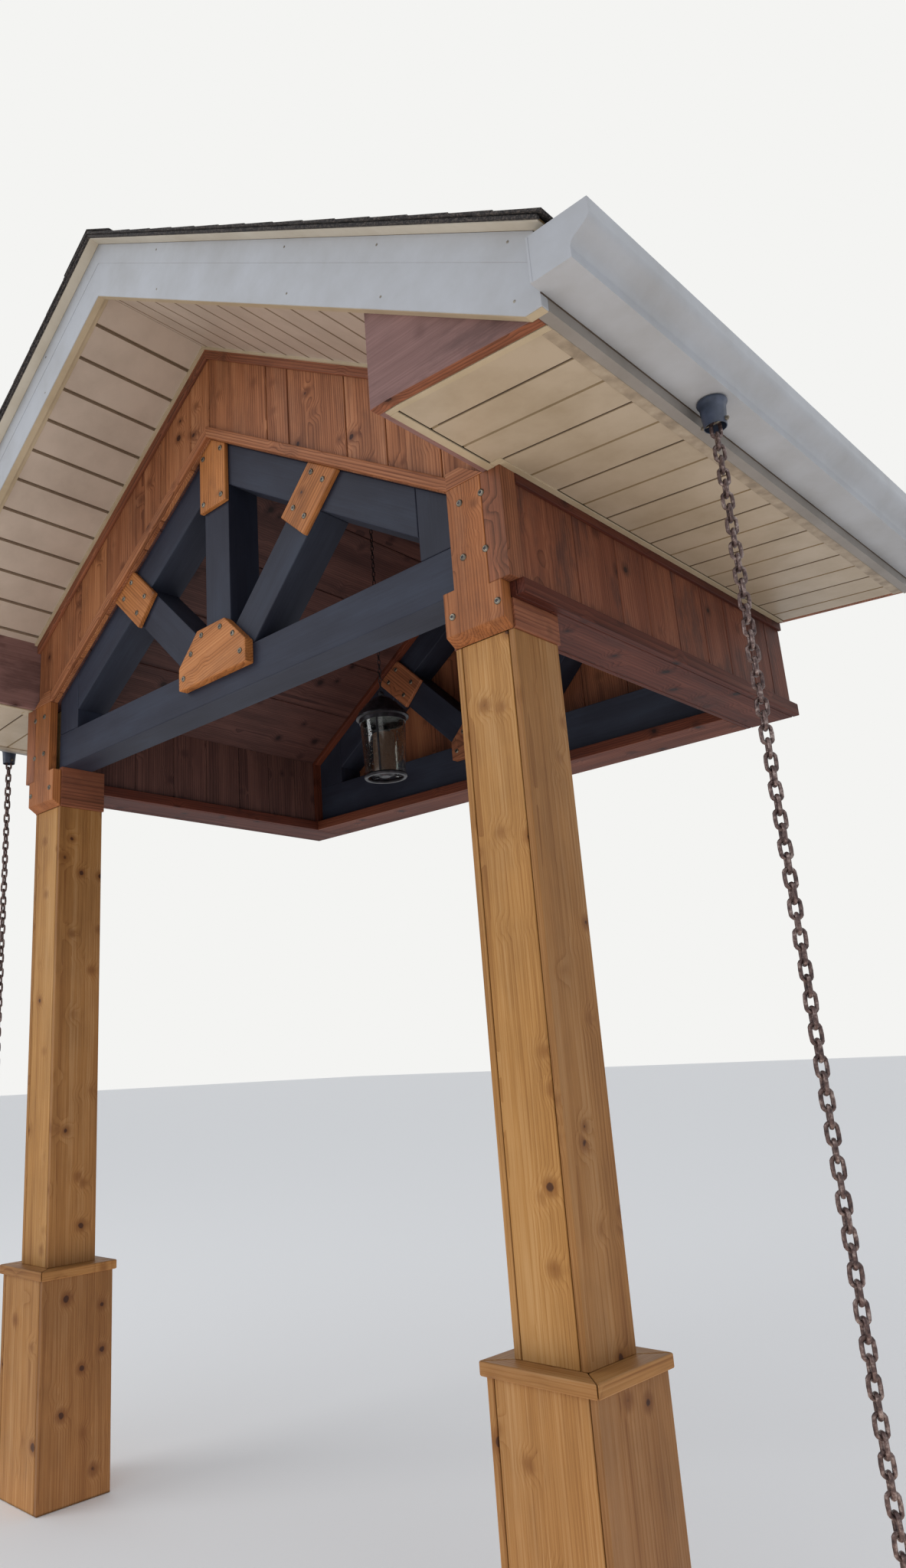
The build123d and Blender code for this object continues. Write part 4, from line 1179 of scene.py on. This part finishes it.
def drip_edges():
    """Metal edging under the deck's overhang, and the starter strip that laps down over the deck's edge."""
    low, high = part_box("roof_deck")
    fascia_low, fascia_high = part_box("rake_fascia")
    face, eave = fascia_low.y, fascia_high.x
    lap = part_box("shingle_layer")[0].y + 0.006
    foot = low.z - 0.1
    pieces, starters = [], []
    for side in (-1, 1):
        under = band(side, (0, low.y - 0.0015, foot), (high.x + 0.0015, face - 0.0005, high.z), DECK + 0.004,
                     DECK - 0.0012)
        edge = block(side, (eave + 0.0005, face - 0.0004, foot), (high.x + 0.0015, high.y, high.z))
        pieces += [under, saw(edge, below(SHINGLES - 0.001, side), above(DECK - 0.0012, side))]
        starter = band(side, (0, lap, foot), (high.x + 0.006, low.y - 0.0001, high.z), SHINGLES - 0.0002,
                       DECK + 0.003)
        starters.append(dress(starter, (0, 1, 0), 0.0012, -1.0))
    finish_piece("drip_edges", pieces, ivory, "cream_soffit")
    finish_piece("rake_starter_strips", starters, asphalt, "asphalt_shingle")


# Lantern

FOOT_RADIUS, SHOULDER_RADIUS = 0.080, 0.092     # of the glass
TUBE_RADIUS = 0.044
STRAP_TURN = 0.5
LANTERN_LINK = 0.020                            # inside length


def lantern():
    low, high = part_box("lantern_base")
    glass_low, glass_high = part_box("lantern_glass")
    cap_low, cap_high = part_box("lantern_cap")
    chain_low, chain_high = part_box("lantern_chain")
    y, r, foot = (low.y + high.y) / 2, (high.y - low.y) / 2, low.z
    centre, at_foot = Matrix.Translation((0, y, 0)), Matrix.Translation((0, y, foot))
    a, b = FOOT_RADIUS, SHOULDER_RADIUS
    turns = [centre @ Matrix.Rotation(third * math.tau / 3 + STRAP_TURN, 4, "Z") for third in range(3)]
    # Ring under the glass, the cup in its middle, and three arms between them
    ring = [(a - 0.009, 0.003), (a - 0.007, 0.0), (r * 0.97, 0.0), (r, 0.004), (r, 0.009), (r * 0.95, 0.013),
            (r * 0.90, 0.015), (a - 0.006, 0.015), (a - 0.009, 0.011), (a - 0.009, 0.003)]
    cup = [(0.0, 0.006), (0.020, 0.006), (0.024, 0.010), (0.030, 0.014), (0.048, 0.016), (0.048, 0.022),
           (0.0, 0.022)]
    parts = [lathe(ring, at_foot), lathe(cup, at_foot)]
    for turn in turns:
        arm = ease(block(1, (-0.004, -a + 0.012, foot + 0.010), (0.004, -0.040, foot + 0.015)), 0.001)
        arm.data.transform(turn)
        parts.append(arm)
    finish_piece("lantern_foot_ring", parts, bronze, "dark_bronze", "lantern_base")

    top, r = high.z - foot, TUBE_RADIUS
    tube = lathe([(r, 0.024), (r, top), (r - 0.003, top), (r - 0.003, 0.024), (r, 0.024)], at_foot)
    finish_piece("lantern_inner_tube", [tube], frosted, "seeded_glass")
    tall = glass_high.z - glass_low.z
    shell = lathe([(a, 0.0), (b, tall), (b - 0.003, tall), (a - 0.003, 0.0), (a, 0.0)],
                  Matrix.Translation((0, y, glass_low.z)), 64)
    finish_piece("lantern_seeded_shell", [shell], glass, "seeded_glass", "lantern_glass")

    rim, top = (cap_high.y - cap_low.y) / 2, cap_high.z - cap_low.z
    skirt_and_dome = [(rim * s, z) for s, z in (
        (0.0, 0.001), (0.82, 0.001), (0.84, -0.016), (0.88, -0.016), (0.90, 0.0), (1, 0.004), (1, 0.010),
        (0.93, 0.018), (0.90, 0.030), (0.78, 0.040), (0.76, 0.046), (0.64, 0.058), (0.62, 0.064),
        (0.44, 0.078), (0.42, 0.083), (0.24, 0.094), (0.16, 0.098))]
    knob = [(r, top - z) for r, z in ((0.010, 0.022), (0.013, 0.016), (0.013, 0.010), (0.006, 0.002), (0, 0))]
    cap = lathe(skirt_and_dome + knob, Matrix.Translation((0, y, cap_low.z)), 64)
    finish_piece("lantern_domed_cap", [cap], bronze, "dark_bronze", "lantern_cap")

    straps = []
    for turn in turns:
        strap = block(1, (-0.004, -b - 0.004, glass_low.z), (0.004, -b, glass_high.z))
        for vertex in strap.data.vertices:
            vertex.co.y += (b - a) * (glass_high.z - vertex.co.z) / tall
        ease(strap, 0.0012).data.transform(turn)
        straps.append(strap)
    finish_piece("lantern_straps", straps, bronze, "dark_bronze")

    master = chain_link(0.0036, LANTERN_LINK, 0.0150, 14, 6)
    links = []
    z = cap_high.z + 0.006
    while z < CEILING - 0.055:
        turn = math.radians(90 * (len(links) % 2) + 20 + draw.uniform(-8, 8))
        links.append(twin(master, Matrix.Translation((0, y, z)) @ Matrix.Rotation(turn, 4, "Z")))
        z += LANTERN_LINK
    bpy.data.objects.remove(master)
    rose = CEILING - 0.030
    links.append(lathe([(0.0, -0.020), (0.012, -0.020), (0.016, -0.012), (0.040, -0.010), (0.056, -0.004),
                        (0.060, 0.0), (0.060, 0.004), (0.0, 0.004)], Matrix.Translation((0, y, rose))))
    seat = board(1, (-0.040, chain_low.y, chain_high.z - 0.046), (0.040, chain_high.y, CEILING),
                 cuts=[below(CEILING, 1), below(CEILING, -1)])
    links.append(saw(seat, ((0, 0, rose + 0.002), (0, 0, -1))))
    finish_piece("lantern_chain_links", [smooth(join(links))], bronze, "dark_bronze", "lantern_chain")


# Assembly

def keep_cad_nodes():
    """Finishes for the solids that show little and keep their shape, with the gutters' folds rounded."""
    finishes = {"post_cores": spruce, "side_headers": spruce, "roof_deck": spruce, "eave_fascias": taupe,
                "left_gutter": pale, "right_gutter": pale}
    for node, material in finishes.items():
        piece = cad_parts[node]
        piece.data.materials.clear()
        piece.data.materials.append(material)
        if material is pale:
            fold = piece.modifiers.new("folded_edges", "BEVEL")
            fold.width = 0.0022
            fold.segments = 2
            fold.limit_method = "ANGLE"


def build():
    keep_cad_nodes()
    post_feet()
    post_heads()
    side_beams()
    holes = gussets("front", truss("front"), CEILING)
    holes += gussets("rear", truss("rear"), CEILING - PLUMB)
    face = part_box("post_face_boards")[0].y
    holes += [(side * x, face, z) for side in (-1, 1) for x, z in POST_SCREWS]
    fasteners(holes)
    gables()
    rake_trims()
    rear_frame()
    ceiling()
    eave_soffits(rake_soffit())
    fascias()
    returns()
    gutter_fittings()
    outlets()
    rain_chains()
    shingle_courses()
    ridge_caps()
    drip_edges()
    lantern()


# Camera, floor and light

IMAGE_HEIGHT = 2048
FOCAL_PIXELS = 1380.7
SHIFT_PIXELS = (160.2, -24.4)
CAMERA_PLACE = (2.7647, -3.8845, -1.3598)
YAW, LIFT, ROLL = 0.7952, 0.2786, 0.0461


def camera():
    """Eye level, looking up across the front of the canopy from its right."""
    data = bpy.data.cameras.new("eye_level_camera")
    data.sensor_width = 36
    data.lens = 36 * FOCAL_PIXELS / IMAGE_HEIGHT
    data.shift_x = SHIFT_PIXELS[0] / IMAGE_HEIGHT
    data.shift_y = SHIFT_PIXELS[1] / IMAGE_HEIGHT
    eye = bpy.data.objects.new("eye_level_camera", data)
    bpy.context.scene.collection.objects.link(eye)
    turn = Matrix.Rotation(YAW, 4, "Z") @ Matrix.Rotation(LIFT, 4, "X") @ Matrix.Rotation(ROLL, 4, "Y")
    eye.matrix_world = Matrix.Translation(CAMERA_PLACE) @ turn @ FACING
    bpy.context.scene.camera = eye


def lamp(name, place, target, size, power, colour):
    """Soft square lamp aimed at a point."""
    data = bpy.data.lights.new(name, "AREA")
    data.size = size
    data.energy = power
    data.color = tint(colour)[:3]
    light = bpy.data.objects.new(name, data)
    bpy.context.scene.collection.objects.link(light)
    way = Vector(target) - Vector(place)
    light.matrix_world = Matrix.Translation(place) @ way.to_track_quat("-Z", "Y").to_matrix().to_4x4()
    return light


def studio():
    """Plain floor, soft light from all round, a high key lamp, a fill lamp, and a glow from the ground."""
    ground = cad_box[0].z
    bpy.ops.object.select_all(action="DESELECT")
    bpy.ops.mesh.primitive_plane_add(size=240, location=(0, 0, ground - 0.001))
    floor = bpy.context.object
    floor.name = "studio_floor"
    material, tree, shader = new_material("studio_floor_paint")
    feed(tree, shader, {"Base Color": tint("#f8f5ee"), "Roughness": 0.9})
    floor.data.materials.append(material)
    world = bpy.data.worlds.new("studio_light")
    bpy.context.scene.world = world
    world.use_nodes = True
    tree = world.node_tree
    tree.nodes.clear()
    # Camera, glossy and transmitted rays see the plain background, and the rest the soft light.
    rays = add(tree, "ShaderNodeLightPath").node.outputs
    seen = rays["Is Camera Ray"]
    for kind in ("Is Transmission Ray", "Is Glossy Ray"):
        seen = add(tree, "ShaderNodeMath", {0: seen, 1: rays[kind]}, operation="MAXIMUM")
    soft = add(tree, "ShaderNodeBackground", {"Color": tint("#e8eefa"), "Strength": 0.76})
    plain = add(tree, "ShaderNodeBackground", {"Color": tint("#f4f4f2"), "Strength": 1.0})
    mixed = add(tree, "ShaderNodeMixShader", {0: seen, 1: soft, 2: plain})
    add(tree, "ShaderNodeOutputWorld", {"Surface": mixed})
    lamp("key_light", (-4.5, -9.0, 3.5), (0, -1.2, -0.6), 5.0, 230, "#f6f8ff")
    lamp("fill_light", (7.0, -3.0, 0.5), (0.8, -1.2, -0.6), 4.0, 27, "#eef2ff")
    glow = lamp("ground_glow", (1.2, -3.4, ground + 0.004), (1.2, -3.399, 0), 6.0, 84, "#ffe8d2")
    glow.visible_camera = False


build()
camera()
studio()
scene = bpy.context.scene
scene.view_settings.view_transform = "Standard"
